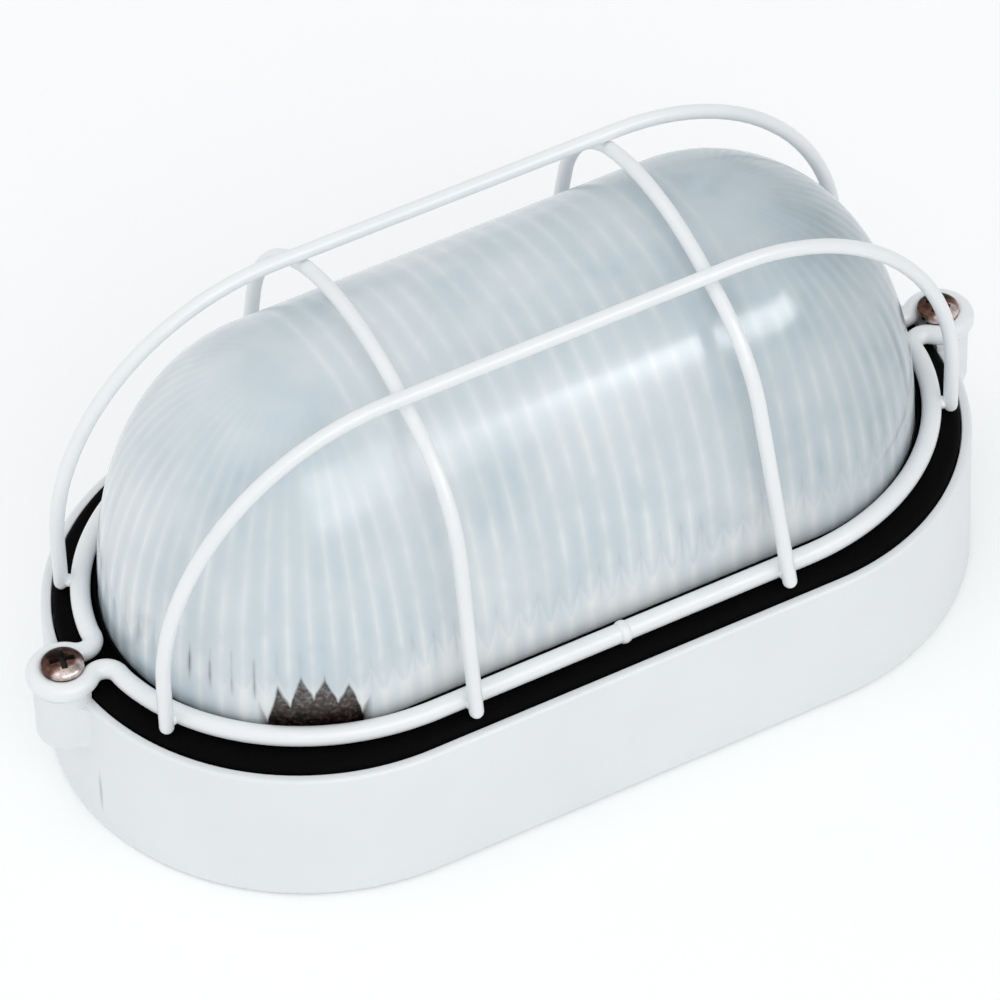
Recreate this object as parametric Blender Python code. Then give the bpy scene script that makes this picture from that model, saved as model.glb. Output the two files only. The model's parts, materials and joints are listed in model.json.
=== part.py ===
"""Oval bulkhead wall lamp: cast housing, ribbed glass under a wire guard, lampholder and bulb.

The lamp lies on its back. X runs along its length, Y across it, and +Z out of the wall
through the glass. The origin is at the centre of the flat back face. Sizes are in metres.
"""

import math

import bmesh
import bpy
from mathutils import Matrix, Vector

# Clearances, and how far a cutter reaches past what it cuts
FIT = 0.0003
WELD_GAP = 0.0003
SEAT_CLEARANCE = 0.0012
THREAD_CLEARANCE = 0.0006
CUT_PAST = 0.004

# Facets round a half turn of the racetrack, round turned pieces, and along bends
TURN_STEPS = 18
ROUND_SEGMENTS = 20
SMALL_SEGMENTS = 12
FILLET_STEPS = 2
CROWN_STEPS = 3
RING_BEND_STEPS = 12
NECK_STEPS = 4
EYE_STEPS = 7
LONG_BOW_STEPS = 9
CROSS_BOW_STEPS = 6
GLOBE_STEPS = 8
LEAD_STEPS = 8
SMOOTH_UNDER = math.radians(35)

# Housing, a casting whose plan is a racetrack
STRAIGHT = 0.092
HOUSING_RADIUS = 0.0534
HOUSING_DRAFT = 0.0003
HOUSING_HEIGHT = 0.032
HOUSING_WALL = 0.0024
RIM_ROUND = 0.0006
FLOOR = 0.0025
SEAT_THICKNESS = 0.0025
DISH_WALL = 0.0026
DISH_FILLET = 0.003
SEAT_HEIGHT = 0.026

# Screw bosses at the two ends
BOSS_OUT = 0.0006
BOSS_RADIUS = 0.0063
BOSS_LENGTH = 0.0145
BOSS_OVER_RIM = 0.0017
BOSS_ROUND = 0.0012

# Guard
RING_WIRE = 0.004
BOW_WIRE = 0.003
RING_GAP = 0.0021
RING_END_GAP = 0.00175
RING_END_INSET = 0.00425
EYE_RADIUS = 0.0055
NECK_RADIUS = 0.0026
LONG_BOW_SPACING = 0.0458
LONG_BOW_HEIGHT = 0.0615
LONG_BOW_CORNER = 0.0507
CROSS_ROOF_RADIUS = 0.059
CROSS_ROOF_ANGLE = math.radians(24)
CROSS_CORNER = 0.029

# Each cross bow was bent by hand: its feet, its near top and its far top along X, and how far
# its shoulders stand in from the ring
LEFT_BOW_FEET = -0.0351
LEFT_BOW_NEAR = -0.0338
LEFT_BOW_FAR = -0.0320
LEFT_BOW_INSET = 0.0044
RIGHT_BOW_FEET = 0.0355
RIGHT_BOW_NEAR = 0.0337
RIGHT_BOW_FAR = 0.0360
RIGHT_BOW_INSET = 0.0091

# Gasket and glass
GASKET_WIDTH = 0.0092
GASKET_LEG = 0.0022
GASKET_WEB = 0.0022
GASKET_CHAMFER = 0.0014
GLASS_WALL = 0.0028
GLASS_RISE = 0.060
GLASS_POWER = 2.25
RIB_DEPTH = 0.0009
RIBS_PER_STRAIGHT = 20
RIBS_PER_END = 28
RIB_START = 0.008
RIB_RUN_IN = 0.007
RIB_FADE = 2.5
GLASS_ROWS = 8
ROW_CROWDING = 1.3

# Cover screws
SCREW_DIAMETER = 0.004
SCREW_LENGTH = 0.016
HEAD_DIAMETER = 0.0091
HEAD_HEIGHT = 0.0026
HEAD_EDGE = 0.0007
TIP_CHAMFER = 0.0006
CROSS_SPAN = 0.0052
CROSS_WIDTH = 0.0013
CROSS_DEPTH = 0.0014
SCREW_TURNS = {"left": math.radians(12), "right": math.radians(40)}

# Lampholder, bracket and bulb, on an axis along X
LAMP_AXIS_HEIGHT = 0.040
BRACKET_X = -0.0675
BRACKET_STEEL = 0.0015
BRACKET_WIDTH = 0.024
BRACKET_TOP = 0.013
BRACKET_BEND = 0.003
FOOT_DEPTH = 0.016
FOOT_SPAN = 0.060
FOOT_SCREW_SPACING = 0.0446
FOOT_SCREW_TURN = math.radians(20)
POST_HEIGHT = 0.0035
POST_RADIUS = 0.004
HOLDER_RADIUS = 0.020
HOLDER_LENGTH = 0.038
HOLDER_BASE = 0.012
HOLDER_REAR_RADIUS = 0.015
HOLDER_REAR_LENGTH = 0.0085
HOLDER_CHAMFER = 0.0015
SHELL_WALL = 0.0004
SHELL_LENGTH = 0.023
SHELL_LIP_RADIUS = 0.0098
NIPPLE_RADIUS = 0.005
NIPPLE_LENGTH = 0.0065
NUT_FLATS = 0.014
NUT_THICKNESS = 0.003
CONTACT_STEEL = 0.0005
CONTACT_RISE = 0.0032
CONTACT_WIDTH = 0.006
CONTACT_REACH = 0.0073
CONTACT_FOLD = 0.0044
CONTACT_TIP = 0.0044
CAP_RADIUS = 0.0132
CAP_LENGTH = 0.024
CAP_SHOULDER = 0.006
CAP_INSULATOR_RADIUS = 0.0106
CAP_INSULATOR = 0.0048
CAP_BUTTON_RADIUS = 0.0048
CAP_BUTTON = 0.0019
BULB_RADIUS = 0.030
BULB_LENGTH = 0.105
BULB_NECK_RADIUS = 0.015
BULB_NECK_START = 0.026
BULB_SHOULDER = 0.017

# Terminal block and its leads
BLOCK_LENGTH = 0.030
BLOCK_WIDTH = 0.018
BLOCK_HEIGHT = 0.0125
BLOCK_X = -0.028
BLOCK_Y = -0.024
BLOCK_CHAMFER = 0.001
BLOCK_SCREW = 0.003
BLOCK_SCREW_HEAD = 0.0051
BLOCK_SCREW_HEAD_HEIGHT = 0.0015
SLOT_WIDTH = 0.0008
SLOT_DEPTH = 0.0006
POLE_SPACING = 0.009
BARREL_HEIGHT = 0.0053
BARREL_RADIUS = 0.0024
BARREL_BORE = 0.0016
BARREL_LENGTH = 0.020
CLAMP_SPACING = 0.011
CLAMP_DIAMETER = 0.0024
LEAD_RADIUS = 0.0011
LEAD_OUT = 0.004
LEAD_RISE = 0.010
LEAD_DEPTH = 0.009
LEAD_START_PULL = 0.010
LEAD_END_PULL = 0.004
LEAD_HOLE_SPACING = 0.016
LEAD_HOLE_INSET = 0.0042
LEAD_HOLE_DEPTH = 0.0075

# Earth screw, cable entry and fixing holes in the floor
EARTH_X = -0.004
EARTH_Y = 0.026
EARTH_HEAD = 0.0075
EARTH_HEAD_HEIGHT = 0.0022
EARTH_SHANK = 0.004
WASHER_RADIUS = 0.00475
WASHER_THICKNESS = 0.001
ENTRY_X = 0.038
ENTRY_RADIUS = 0.008
GROMMET_WALL = 0.0015
GROMMET_FLANGE = 0.011
CABLE_BORE = 0.0045
FIXING_SPACING = 0.156
FIXING_HOLE = 0.0052

# Sizes that follow from those above
HALF = STRAIGHT / 2
RIM_RADIUS = HOUSING_RADIUS - HOUSING_DRAFT
REBATE_RADIUS = RIM_RADIUS - HOUSING_WALL + HOUSING_DRAFT
GASKET_RADIUS = REBATE_RADIUS - FIT
GLASS_RADIUS = GASKET_RADIUS - GASKET_WIDTH
FLANGE_RADIUS = GASKET_RADIUS - GASKET_WEB - FIT
DISH_RADIUS = GLASS_RADIUS + SEAT_CLEARANCE
BOSS_X = HALF + HOUSING_RADIUS + BOSS_OUT
BOSS_TOP = HOUSING_HEIGHT + BOSS_OVER_RIM
RING_Z = BOSS_TOP + FIT + RING_WIRE / 2
GASKET_BASE = SEAT_HEIGHT + FIT
GASKET_TOP = RING_Z - RING_WIRE / 2 - FIT
FLANGE_BASE = GASKET_BASE + GASKET_LEG + FIT
FLANGE_TOP = GASKET_TOP - GASKET_LEG - FIT
GLASS_BASE = RING_Z - RING_WIRE / 2
RING_HALF_WIDTH = GLASS_RADIUS + RING_GAP + RING_WIRE / 2
RING_END_X = HALF - RING_END_INSET
RING_END_DEPTH = RING_END_INSET + GLASS_RADIUS + RING_END_GAP + RING_WIRE / 2
WIRE_OFFSET = (RING_WIRE + BOW_WIRE) / 2 + WELD_GAP
LEG_TIP = GASKET_TOP + FIT
LONG_BOW_Z = RING_Z + LONG_BOW_HEIGHT
CROSSING_Z = LONG_BOW_Z - BOW_WIRE - WELD_GAP
SCREW_SEAT = RING_Z + RING_WIRE / 2 + FIT
SCREW_ABOVE = SCREW_SEAT - BOSS_TOP + HEAD_HEIGHT - FIT
POST_TOP = FLOOR + POST_HEIGHT
FOOT_X = BRACKET_X + BRACKET_STEEL + FOOT_DEPTH / 2
BRACKET_LEVEL = POST_TOP + FIT + BRACKET_STEEL / 2
BLOCK_BASE = POST_TOP + FIT
BLOCK_TOP = BLOCK_BASE + BLOCK_HEIGHT
SHELL_BORE = CAP_RADIUS + THREAD_CLEARANCE
HOLDER_BORE = SHELL_BORE + SHELL_WALL + FIT
HOLDER_REAR = BRACKET_X + BRACKET_STEEL / 2 + FIT
CUP_BOTTOM = HOLDER_REAR + HOLDER_BASE
BULB_TIP = CUP_BOTTOM + CONTACT_RISE + CONTACT_STEEL + 2 * FIT


def material(name, colour, roughness, metallic=0.0, transmission=0.0):
    made = bpy.data.materials.new(name)
    made.use_nodes = True
    shader = made.node_tree.nodes["Principled BSDF"]
    shader.inputs["Base Color"].default_value = (*colour, 1)
    shader.inputs["Roughness"].default_value = roughness
    shader.inputs["Metallic"].default_value = metallic
    shader.inputs["Transmission Weight"].default_value = transmission
    made.diffuse_color = (*colour, 1)
    return made


def place(name, mesh, finish, at=(0, 0, 0), turn=(0, 0, 0)):
    """Adds the mesh as a named object."""
    made = bpy.data.objects.new(name, mesh)
    bpy.context.scene.collection.objects.link(made)
    made.location = at
    made.rotation_euler = turn
    if finish:
        mesh.materials.append(finish)
    return made


def finished(bm, name):
    """Closes the bmesh into a mesh with its faces out and its round sides smooth."""
    bmesh.ops.remove_doubles(bm, verts=bm.verts, dist=1e-7)
    bmesh.ops.recalc_face_normals(bm, faces=bm.faces)
    mesh = bpy.data.meshes.new(name)
    bm.to_mesh(mesh)
    bm.free()
    mesh.shade_smooth()
    mesh.set_sharp_from_angle(angle=SMOOTH_UNDER)
    return mesh


def helper(made):
    """Marks an object as a cutter or an addition that a Boolean uses up."""
    made.hide_render = True
    made.display_type = "WIRE"
    return made


def combine(target, operation, *others):
    """Joins the other objects to the target, or cuts them from it, all in one step."""
    modifier = target.modifiers.new(f"{operation.lower()} {others[0].name}", "BOOLEAN")
    modifier.operation = operation
    modifier.solver = "EXACT"
    if len(others) == 1:
        modifier.object = helper(others[0])
        return
    group = bpy.data.collections.new(f"{target.name} {operation.lower()}")
    for other in others:
        group.objects.link(helper(other))
    modifier.operand_type = "COLLECTION"
    modifier.collection = group


def turned_mesh(name, profile, segments=ROUND_SEGMENTS):
    """Spins a profile of (radius, height) points round Z."""
    bm = bmesh.new()
    verts = [bm.verts.new((radius, 0, height)) for radius, height in profile]
    edges = [bm.edges.new(pair) for pair in zip(verts, verts[1:])]
    bmesh.ops.spin(bm, geom=verts + edges, cent=(0, 0, 0), axis=(0, 0, 1),
                   angle=math.tau, steps=segments, use_merge=True)
    return finished(bm, name)


def racetrack_mesh(name, profile, half, steps):
    """Carries a profile of (radius, height) points round two straights and two half turns."""
    bm = bmesh.new()
    verts = [bm.verts.new((half, -radius, height)) for radius, height in profile]
    moving = verts + [bm.edges.new(pair) for pair in zip(verts, verts[1:])]
    if profile[0] == profile[-1]:
        bmesh.ops.remove_doubles(bm, verts=verts, dist=1e-7)
        moving = list(bm.verts) + list(bm.edges)
    for side in (1, -1):
        moving = bmesh.ops.spin(bm, geom=moving, cent=(side * half, 0, 0), axis=(0, 0, 1),
                                angle=math.pi, steps=steps)["geom_last"]
        edges = [item for item in moving if isinstance(item, bmesh.types.BMEdge)]
        moving = bmesh.ops.extrude_edge_only(bm, edges=edges)["geom"]
        moving = [item for item in moving if not isinstance(item, bmesh.types.BMFace)]
        ends = [item for item in moving if isinstance(item, bmesh.types.BMVert)]
        bmesh.ops.translate(bm, verts=ends, vec=(-2 * side * half, 0, 0))
    bmesh.ops.remove_doubles(bm, verts=bm.verts, dist=1e-6)
    rims = [edge for edge in bm.edges if edge.is_boundary]
    bmesh.ops.holes_fill(bm, edges=rims, sides=0)
    return finished(bm, name)


def box_mesh(name, size, chamfer=0.0):
    bm = bmesh.new()
    bmesh.ops.create_cube(bm, size=1)
    bmesh.ops.scale(bm, vec=size, verts=bm.verts)
    if chamfer:
        bmesh.ops.bevel(bm, geom=bm.edges[:], offset=chamfer, segments=1, affect="EDGES", profile=0.5)
    return finished(bm, name)


def cylinder_mesh(name, radius, low, high, segments=SMALL_SEGMENTS):
    return turned_mesh(name, [(0, low), (radius, low), (radius, high), (0, high)], segments)


def arc_points(centre, radius, start, sweep, steps):
    """Points along an arc in a plane, both ends included."""
    return [
        (centre[0] + radius * math.cos(start + sweep * k / steps),
         centre[1] + radius * math.sin(start + sweep * k / steps))
        for k in range(steps + 1)
    ]


def rounded_path(corners, radii, steps):
    """A path through the corners, each inner one rounded to its radius."""
    path = [Vector(corners[0])]
    for before, corner, after, radius in zip(corners, corners[1:], corners[2:], radii):
        corner = Vector(corner)
        to_before = (Vector(before) - corner).normalized()
        to_after = (Vector(after) - corner).normalized()
        half_angle = to_before.angle(to_after) / 2
        centre = corner + (to_before + to_after).normalized() * radius / math.sin(half_angle)
        first = corner + to_before * radius / math.tan(half_angle) - centre
        last = corner + to_after * radius / math.tan(half_angle) - centre
        start = math.atan2(first.y, first.x)
        sweep = (math.atan2(last.y, last.x) - start + math.pi) % math.tau - math.pi
        path += [Vector(p) for p in arc_points(centre, radius, start, sweep, steps)]
    return path + [Vector(corners[-1])]


def wire(name, points, radius, finish, cyclic=False, round_ends=False):
    """A round wire along the points, its ends domed if asked."""
    curve = bpy.data.curves.new(name, "CURVE")
    curve.dimensions = "3D"
    curve.bevel_depth = radius
    curve.bevel_resolution = 2
    curve.use_fill_caps = not cyclic
    shares = [1.0] * len(points)
    if round_ends:
        points, shares = domed(points, radius)
    spline = curve.splines.new("POLY")
    spline.points.add(len(points) - 1)
    spline.use_cyclic_u = cyclic
    spline.use_smooth = True
    for point, co, share in zip(spline.points, points, shares):
        point.co = (*co, 1)
        point.radius = share
    curve.materials.append(finish)
    made = bpy.data.objects.new(name, curve)
    bpy.context.scene.collection.objects.link(made)
    return made


def domed(points, radius):
    """The path with extra points at both ends, and the share of the radius at each point."""
    angles = [math.radians(60), math.radians(30), 0]
    reaches = [radius * (1 - math.sin(angle)) for angle in angles]
    shares = [math.cos(angle) for angle in angles]
    points = [Vector(point) for point in points]
    front_way = (points[1] - points[0]).normalized()
    back_way = (points[-2] - points[-1]).normalized()
    front = [points[0] + front_way * reach for reach in reaches]
    back = [points[-1] + back_way * reach for reach in reversed(reaches)]
    return front + points[1:-1] + back, shares + [1.0] * (len(points) - 2) + shares[::-1]


def housing(finish):
    """The casting: wall, gasket seat and dish, cored from the back, with its bosses and posts."""
    shoulder = arc_points((RIM_RADIUS - RIM_ROUND, HOUSING_HEIGHT - RIM_ROUND), RIM_ROUND,
                          math.pi / 2, -math.pi / 2, FILLET_STEPS)
    profile = [*shoulder, (HOUSING_RADIUS, 0)]
    made = place("housing", racetrack_mesh("housing", profile, HALF, TURN_STEPS), finish)
    combine(made, "UNION", boss(-1), boss(1))
    combine(made, "DIFFERENCE", cavity(), back_recess())
    posts = [round_cutter("post", at, POST_RADIUS, FLOOR / 2, POST_TOP) for at, _ in post_places()]
    combine(made, "UNION", *posts)
    holes = [round_cutter("entry_hole", (ENTRY_X, 0), ENTRY_RADIUS, -CUT_PAST, FLOOR + CUT_PAST)]
    for side in (-1, 1):
        bore = (SCREW_DIAMETER / 2 + FIT, BOSS_TOP - SCREW_LENGTH + SCREW_ABOVE, BOSS_TOP + CUT_PAST)
        holes.append(round_cutter("boss_bore", (side * BOSS_X, 0), *bore))
        hole = (FIXING_HOLE / 2, -CUT_PAST, FLOOR + CUT_PAST)
        holes.append(round_cutter("fixing_hole", (side * FIXING_SPACING / 2, 0), *hole))
    for at, screw_diameter in post_places():
        bore = (screw_diameter / 2 + FIT, FLOOR / 2, POST_TOP + CUT_PAST)
        holes.append(round_cutter("post_bore", at, *bore))
    combine(made, "DIFFERENCE", *holes)
    return made


def cavity():
    """The space inside the housing: the dish, and above its seat the rebate for the gasket."""
    fillet = arc_points((DISH_RADIUS - DISH_FILLET, FLOOR + DISH_FILLET), DISH_FILLET,
                        -math.pi / 2, math.pi / 2, FILLET_STEPS)
    profile = [*fillet, (DISH_RADIUS, SEAT_HEIGHT), (REBATE_RADIUS, SEAT_HEIGHT),
               (REBATE_RADIUS, BOSS_TOP + CUT_PAST)]
    return place("cavity", racetrack_mesh("cavity", profile, HALF, TURN_STEPS), None)


def back_recess():
    """The groove that the casting is cored with from the back, between its wall and its dish."""
    top = SEAT_HEIGHT - SEAT_THICKNESS
    outer = HOUSING_RADIUS - HOUSING_WALL
    inner = DISH_RADIUS + DISH_WALL
    profile = [(inner, -CUT_PAST), (inner, top), (outer, top), (outer, -CUT_PAST), (inner, -CUT_PAST)]
    return place("back_recess", racetrack_mesh("back_recess", profile, HALF, TURN_STEPS), None)


def boss(side):
    """A round boss for one cover screw, its lower edge rounded."""
    low = BOSS_TOP - BOSS_LENGTH
    foot = arc_points((BOSS_RADIUS - BOSS_ROUND, low + BOSS_ROUND), BOSS_ROUND,
                      -math.pi / 2, math.pi / 2, FILLET_STEPS)
    profile = [(0, low), *foot, (BOSS_RADIUS, BOSS_TOP), (0, BOSS_TOP)]
    mesh = turned_mesh("boss", profile)
    return place("boss", mesh, None, at=(side * BOSS_X, 0, 0))


def round_cutter(name, at, radius, low, high):
    mesh = cylinder_mesh(name, radius, low, high)
    return place(name, mesh, None, at=(*at, 0))


def foot_screw_place(side):
    return (FOOT_X, side * FOOT_SCREW_SPACING / 2)


def post_places():
    """Where the floor's posts stand, each with its screw's diameter."""
    foot = [(foot_screw_place(side), EARTH_SHANK) for side in (-1, 1)]
    return [*foot, ((EARTH_X, EARTH_Y), EARTH_SHANK), ((BLOCK_X, BLOCK_Y), BLOCK_SCREW)]


def gasket(finish):
    """A rubber ring of U section that wraps the glass's flange, its outer edge chamfered."""
    outer = GASKET_RADIUS
    inner = GLASS_RADIUS + FIT
    slot = FLANGE_RADIUS + FIT
    profile = [
        (inner, GASKET_BASE), (outer, GASKET_BASE), (outer, GASKET_TOP - GASKET_CHAMFER),
        (outer - GASKET_CHAMFER, GASKET_TOP), (inner, GASKET_TOP), (inner, FLANGE_TOP + FIT),
        (slot, FLANGE_TOP + FIT), (slot, FLANGE_BASE - FIT), (inner, FLANGE_BASE - FIT),
        (inner, GASKET_BASE),
    ]
    return place("gasket", racetrack_mesh("gasket", profile, HALF, TURN_STEPS), finish)


def dome_columns(per_rib):
    """Columns round the racetrack, each a point of the dome's ridge line and a direction outward."""
    columns = []
    per_end = RIBS_PER_END * per_rib
    per_straight = RIBS_PER_STRAIGHT * per_rib
    for side in (1, -1):
        for k in range(per_end):
            angle = -math.pi / 2 * side + math.pi * k / per_end
            out = Vector((math.cos(angle), math.sin(angle), 0))
            columns.append((Vector((side * HALF, 0, 0)), out, True))
        for k in range(per_straight):
            ridge = Vector((side * (HALF - STRAIGHT * k / per_straight), 0, 0))
            columns.append((ridge, Vector((0, side, 0)), False))
    return columns


def dome_rows(rise):
    """Rows up the dome, a superellipse in section: (share of the radius, height over the base)."""
    power = 2 / GLASS_POWER
    angles = [math.pi / 2 * (k / GLASS_ROWS) ** ROW_CROWDING for k in range(GLASS_ROWS + 1)]
    return [(abs(math.cos(angle)) ** power, rise * math.sin(angle) ** power) for angle in angles]


def dome_side(bm, radius, rise, per_rib, rib_depth=0.0):
    """One side of the dome as rows of faces up to its ridge. It returns the lowest row."""
    rows = []
    for share, height in dome_rows(rise):
        run_in = min(max((height - RIB_START) / RIB_RUN_IN, 0), 1)
        verts = []
        for index, (ridge, out, at_end) in enumerate(dome_columns(per_rib)):
            fade = min(share * RIB_FADE, 1) if at_end else 1
            depth = rib_depth * (index % per_rib) * run_in * fade
            inward = Vector((-out.x * share, -out.y * share, share - 1)).normalized()
            up = Vector((0, 0, GLASS_BASE + height))
            verts.append(bm.verts.new(ridge + up + out * radius * share + inward * depth))
        rows.append(verts)
    for low, high in zip(rows, rows[1:]):
        skin(bm, low, high)
    return rows[0]


def skin(bm, low, high):
    """Faces between two closed rows of as many points."""
    for k in range(len(low)):
        bm.faces.new((low[k - 1], low[k], high[k], high[k - 1]))


def drop_rim(bm, row, radius, height, per_rib):
    """Carries a dome's lowest row on to a racetrack of this radius and height."""
    lower = []
    for ridge, out, _ in dome_columns(per_rib):
        lower.append(bm.verts.new(ridge + out * radius + Vector((0, 0, height))))
    skin(bm, lower, row)
    return lower


def glass(finish):
    """The pressed glass: a smooth dome outside, ribs inside, and a flange for the gasket."""
    bm = bmesh.new()
    inner_radius = GLASS_RADIUS - GLASS_WALL
    outer = dome_side(bm, GLASS_RADIUS, GLASS_RISE, 1)
    inner = dome_side(bm, inner_radius, GLASS_RISE - GLASS_WALL, 2, RIB_DEPTH)
    for radius, height in ((GLASS_RADIUS, FLANGE_TOP), (FLANGE_RADIUS, FLANGE_TOP),
                           (FLANGE_RADIUS, FLANGE_BASE)):
        outer = drop_rim(bm, outer, radius, height, 1)
    inner = drop_rim(bm, inner, inner_radius, FLANGE_BASE, 2)
    for k in range(len(outer)):
        bm.faces.new((outer[k - 1], outer[k], inner[2 * k], inner[2 * k - 1], inner[2 * k - 2]))
    return place("glass", finished(bm, "glass"), finish)


def ring_path():
    """Centre line of the guard's ring: sides, elliptical ends, and an eye round each screw."""
    reach = EYE_RADIUS + NECK_RADIUS
    neck_x = RING_END_X + RING_END_DEPTH + NECK_RADIUS
    neck_y = math.sqrt(reach**2 - (BOSS_X - neck_x) ** 2)
    side_end = math.asin(neck_y / RING_HALF_WIDTH)
    neck_x = RING_END_X + RING_END_DEPTH * math.cos(side_end) + NECK_RADIUS
    neck_y = math.sqrt(reach**2 - (BOSS_X - neck_x) ** 2)
    toward_eye = math.atan2(neck_y, neck_x - BOSS_X)
    bend = [
        (RING_END_X + RING_END_DEPTH * math.cos(angle), RING_HALF_WIDTH * math.sin(angle))
        for angle in (math.pi / 2 + (side_end - math.pi / 2) * k / RING_BEND_STEPS
                      for k in range(RING_BEND_STEPS))
    ]
    neck = arc_points((neck_x, neck_y), NECK_RADIUS, -math.pi, toward_eye, NECK_STEPS)
    eye = arc_points((BOSS_X, 0), EYE_RADIUS, toward_eye, -toward_eye, EYE_STEPS)
    quarter = bend + neck + eye[1:]
    far = quarter + [(x, -y) for x, y in reversed(quarter[:-1])]
    return far + [(-x, -y) for x, y in far]


def ring_outside(y):
    """Where the ring's centre line lies at this distance from the middle, and its outward normal."""
    share = y / RING_HALF_WIDTH
    x = RING_END_X + RING_END_DEPTH * math.sqrt(1 - share**2)
    normal = Vector(((x - RING_END_X) / RING_END_DEPTH**2, y / RING_HALF_WIDTH**2)).normalized()
    return x, normal


def guard(finish):
    """The ring, and four bows whose legs stand against its outer side."""
    ring = [(x, y, RING_Z) for x, y in ring_path()]
    wire("guard_ring", ring, RING_WIRE / 2, finish, cyclic=True)
    for name, side in (("near", -1), ("far", 1)):
        path = [(x, side * LONG_BOW_SPACING / 2, z) for x, z in long_bow_profile()]
        wire(f"long_bow_{name}", path, BOW_WIRE / 2, finish, round_ends=True)
    cross_bow("left", LEFT_BOW_FEET, LEFT_BOW_NEAR, LEFT_BOW_FAR, LEFT_BOW_INSET, finish)
    cross_bow("right", RIGHT_BOW_FEET, RIGHT_BOW_NEAR, RIGHT_BOW_FAR, RIGHT_BOW_INSET, finish)


def cross_bow(name, feet_x, near_x, far_x, inset, finish):
    profile = cross_bow_profile(RING_HALF_WIDTH - inset)
    path = [cross_bow_point(y, z, feet_x, near_x, far_x) for y, z in profile]
    wire(f"cross_bow_{name}", path, BOW_WIRE / 2, finish, round_ends=True)


def long_bow_profile():
    """A long bow in its own plane: two legs, two round corners and a level top."""
    x, normal = ring_outside(LONG_BOW_SPACING / 2)
    foot = x + WIRE_OFFSET / normal.x
    corners = [(-foot, LEG_TIP), (-foot, LONG_BOW_Z), (foot, LONG_BOW_Z), (foot, LEG_TIP)]
    return rounded_path(corners, (LONG_BOW_CORNER, LONG_BOW_CORNER), LONG_BOW_STEPS)


def cross_bow_profile(half_roof):
    """A cross bow seen along X: leaning legs that touch the ring's outer side, round shoulders,
    and a roof that passes under the long bows."""
    sag = CROSS_ROOF_RADIUS - math.sqrt(CROSS_ROOF_RADIUS**2 - (LONG_BOW_SPACING / 2) ** 2)
    crown = CROSSING_Z + sag
    apex = crown + CROSS_ROOF_RADIUS * (1 / math.cos(CROSS_ROOF_ANGLE) - 1)
    shoulder = apex - half_roof * math.tan(CROSS_ROOF_ANGLE)
    to_ring = Vector((RING_HALF_WIDTH - half_roof, RING_Z - shoulder))
    leg_angle = math.atan2(to_ring.y, to_ring.x) + math.asin(WIRE_OFFSET / to_ring.length)
    foot = half_roof + (LEG_TIP - shoulder) / math.tan(leg_angle)
    corners = [(-foot, LEG_TIP), (-half_roof, shoulder), (0, apex), (half_roof, shoulder), (foot, LEG_TIP)]
    return rounded_path(corners, (CROSS_CORNER, CROSS_ROOF_RADIUS, CROSS_CORNER), CROSS_BOW_STEPS)


def cross_bow_point(y, z, feet_x, near_x, far_x):
    """A point of a cross bow, which leans along X from its feet to its top."""
    across = min(max(0.5 + y / LONG_BOW_SPACING, 0), 1)
    rise = min(max((z - RING_Z) / (CROSSING_Z - RING_Z), 0), 1)
    top_x = near_x + (far_x - near_x) * across
    return (feet_x + (top_x - feet_x) * rise, y, z)


def screw_mesh(name, head_diameter, head_height, shank_diameter, length):
    """A pan-head screw without its recess, its seat at z = 0."""
    head = head_diameter / 2
    crown = arc_points((0, 0), 1, 0, math.pi / 2, CROWN_STEPS)[:-1]
    top = [(head * x, HEAD_EDGE + (head_height - HEAD_EDGE) * y) for x, y in crown]
    shank = shank_diameter / 2
    profile = [(0, -length), (shank - TIP_CHAMFER, -length), (shank, -length + TIP_CHAMFER),
               (shank, 0), (head, 0), *top, (0, head_height)]
    return turned_mesh(name, profile, SMALL_SEGMENTS)


def screw(name, at, seat, sizes, finish, recess, turn=0.0):
    """A screw whose head seats at this height, with a cross or a slot in its head."""
    head_diameter, head_height, shank_diameter, length = sizes
    mesh = screw_mesh(name, head_diameter, head_height, shank_diameter, length)
    made = place(name, mesh, finish, at=(*at, seat), turn=(0, 0, turn))
    if recess == "cross":
        blades = [(CROSS_SPAN, CROSS_WIDTH), (CROSS_WIDTH, CROSS_SPAN)]
        depth = CROSS_DEPTH
    else:
        blades = [(head_diameter + CUT_PAST, SLOT_WIDTH)]
        depth = SLOT_DEPTH
    cutters = []
    for long_side, short_side in blades:
        height = depth + CUT_PAST
        at_top = (*at, seat + head_height - depth + height / 2)
        mesh = box_mesh("recess_cutter", (long_side, short_side, height))
        cutters.append(place("recess_cutter", mesh, None, at=at_top, turn=(0, 0, turn)))
    combine(made, "DIFFERENCE", *cutters)
    return made


def strip_mesh(name, path, thickness, width):
    """A bent metal strip: the path lies in XZ and the strip is as wide along Y."""
    path = [Vector(point) for point in path]
    half = thickness / 2
    sides = []
    for k, point in enumerate(path):
        before = (point - path[k - 1]).normalized() if k else (path[1] - point).normalized()
        after = (path[k + 1] - point).normalized() if k < len(path) - 1 else before
        normal = Vector((-(before + after).y, (before + after).x)).normalized()
        reach = half / max(normal.dot(Vector((-before.y, before.x))), 0.5)
        sides.append((point + normal * reach, point - normal * reach))
    outline = [a for a, _ in sides] + [b for _, b in reversed(sides)]
    bm = bmesh.new()
    face = bm.faces.new([bm.verts.new((p.x, -width / 2, p.y)) for p in outline])
    moved = bmesh.ops.extrude_face_region(bm, geom=[face])["geom"]
    far = [item for item in moved if isinstance(item, bmesh.types.BMVert)]
    bmesh.ops.translate(bm, verts=far, vec=(0, width, 0))
    return finished(bm, name)


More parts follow.
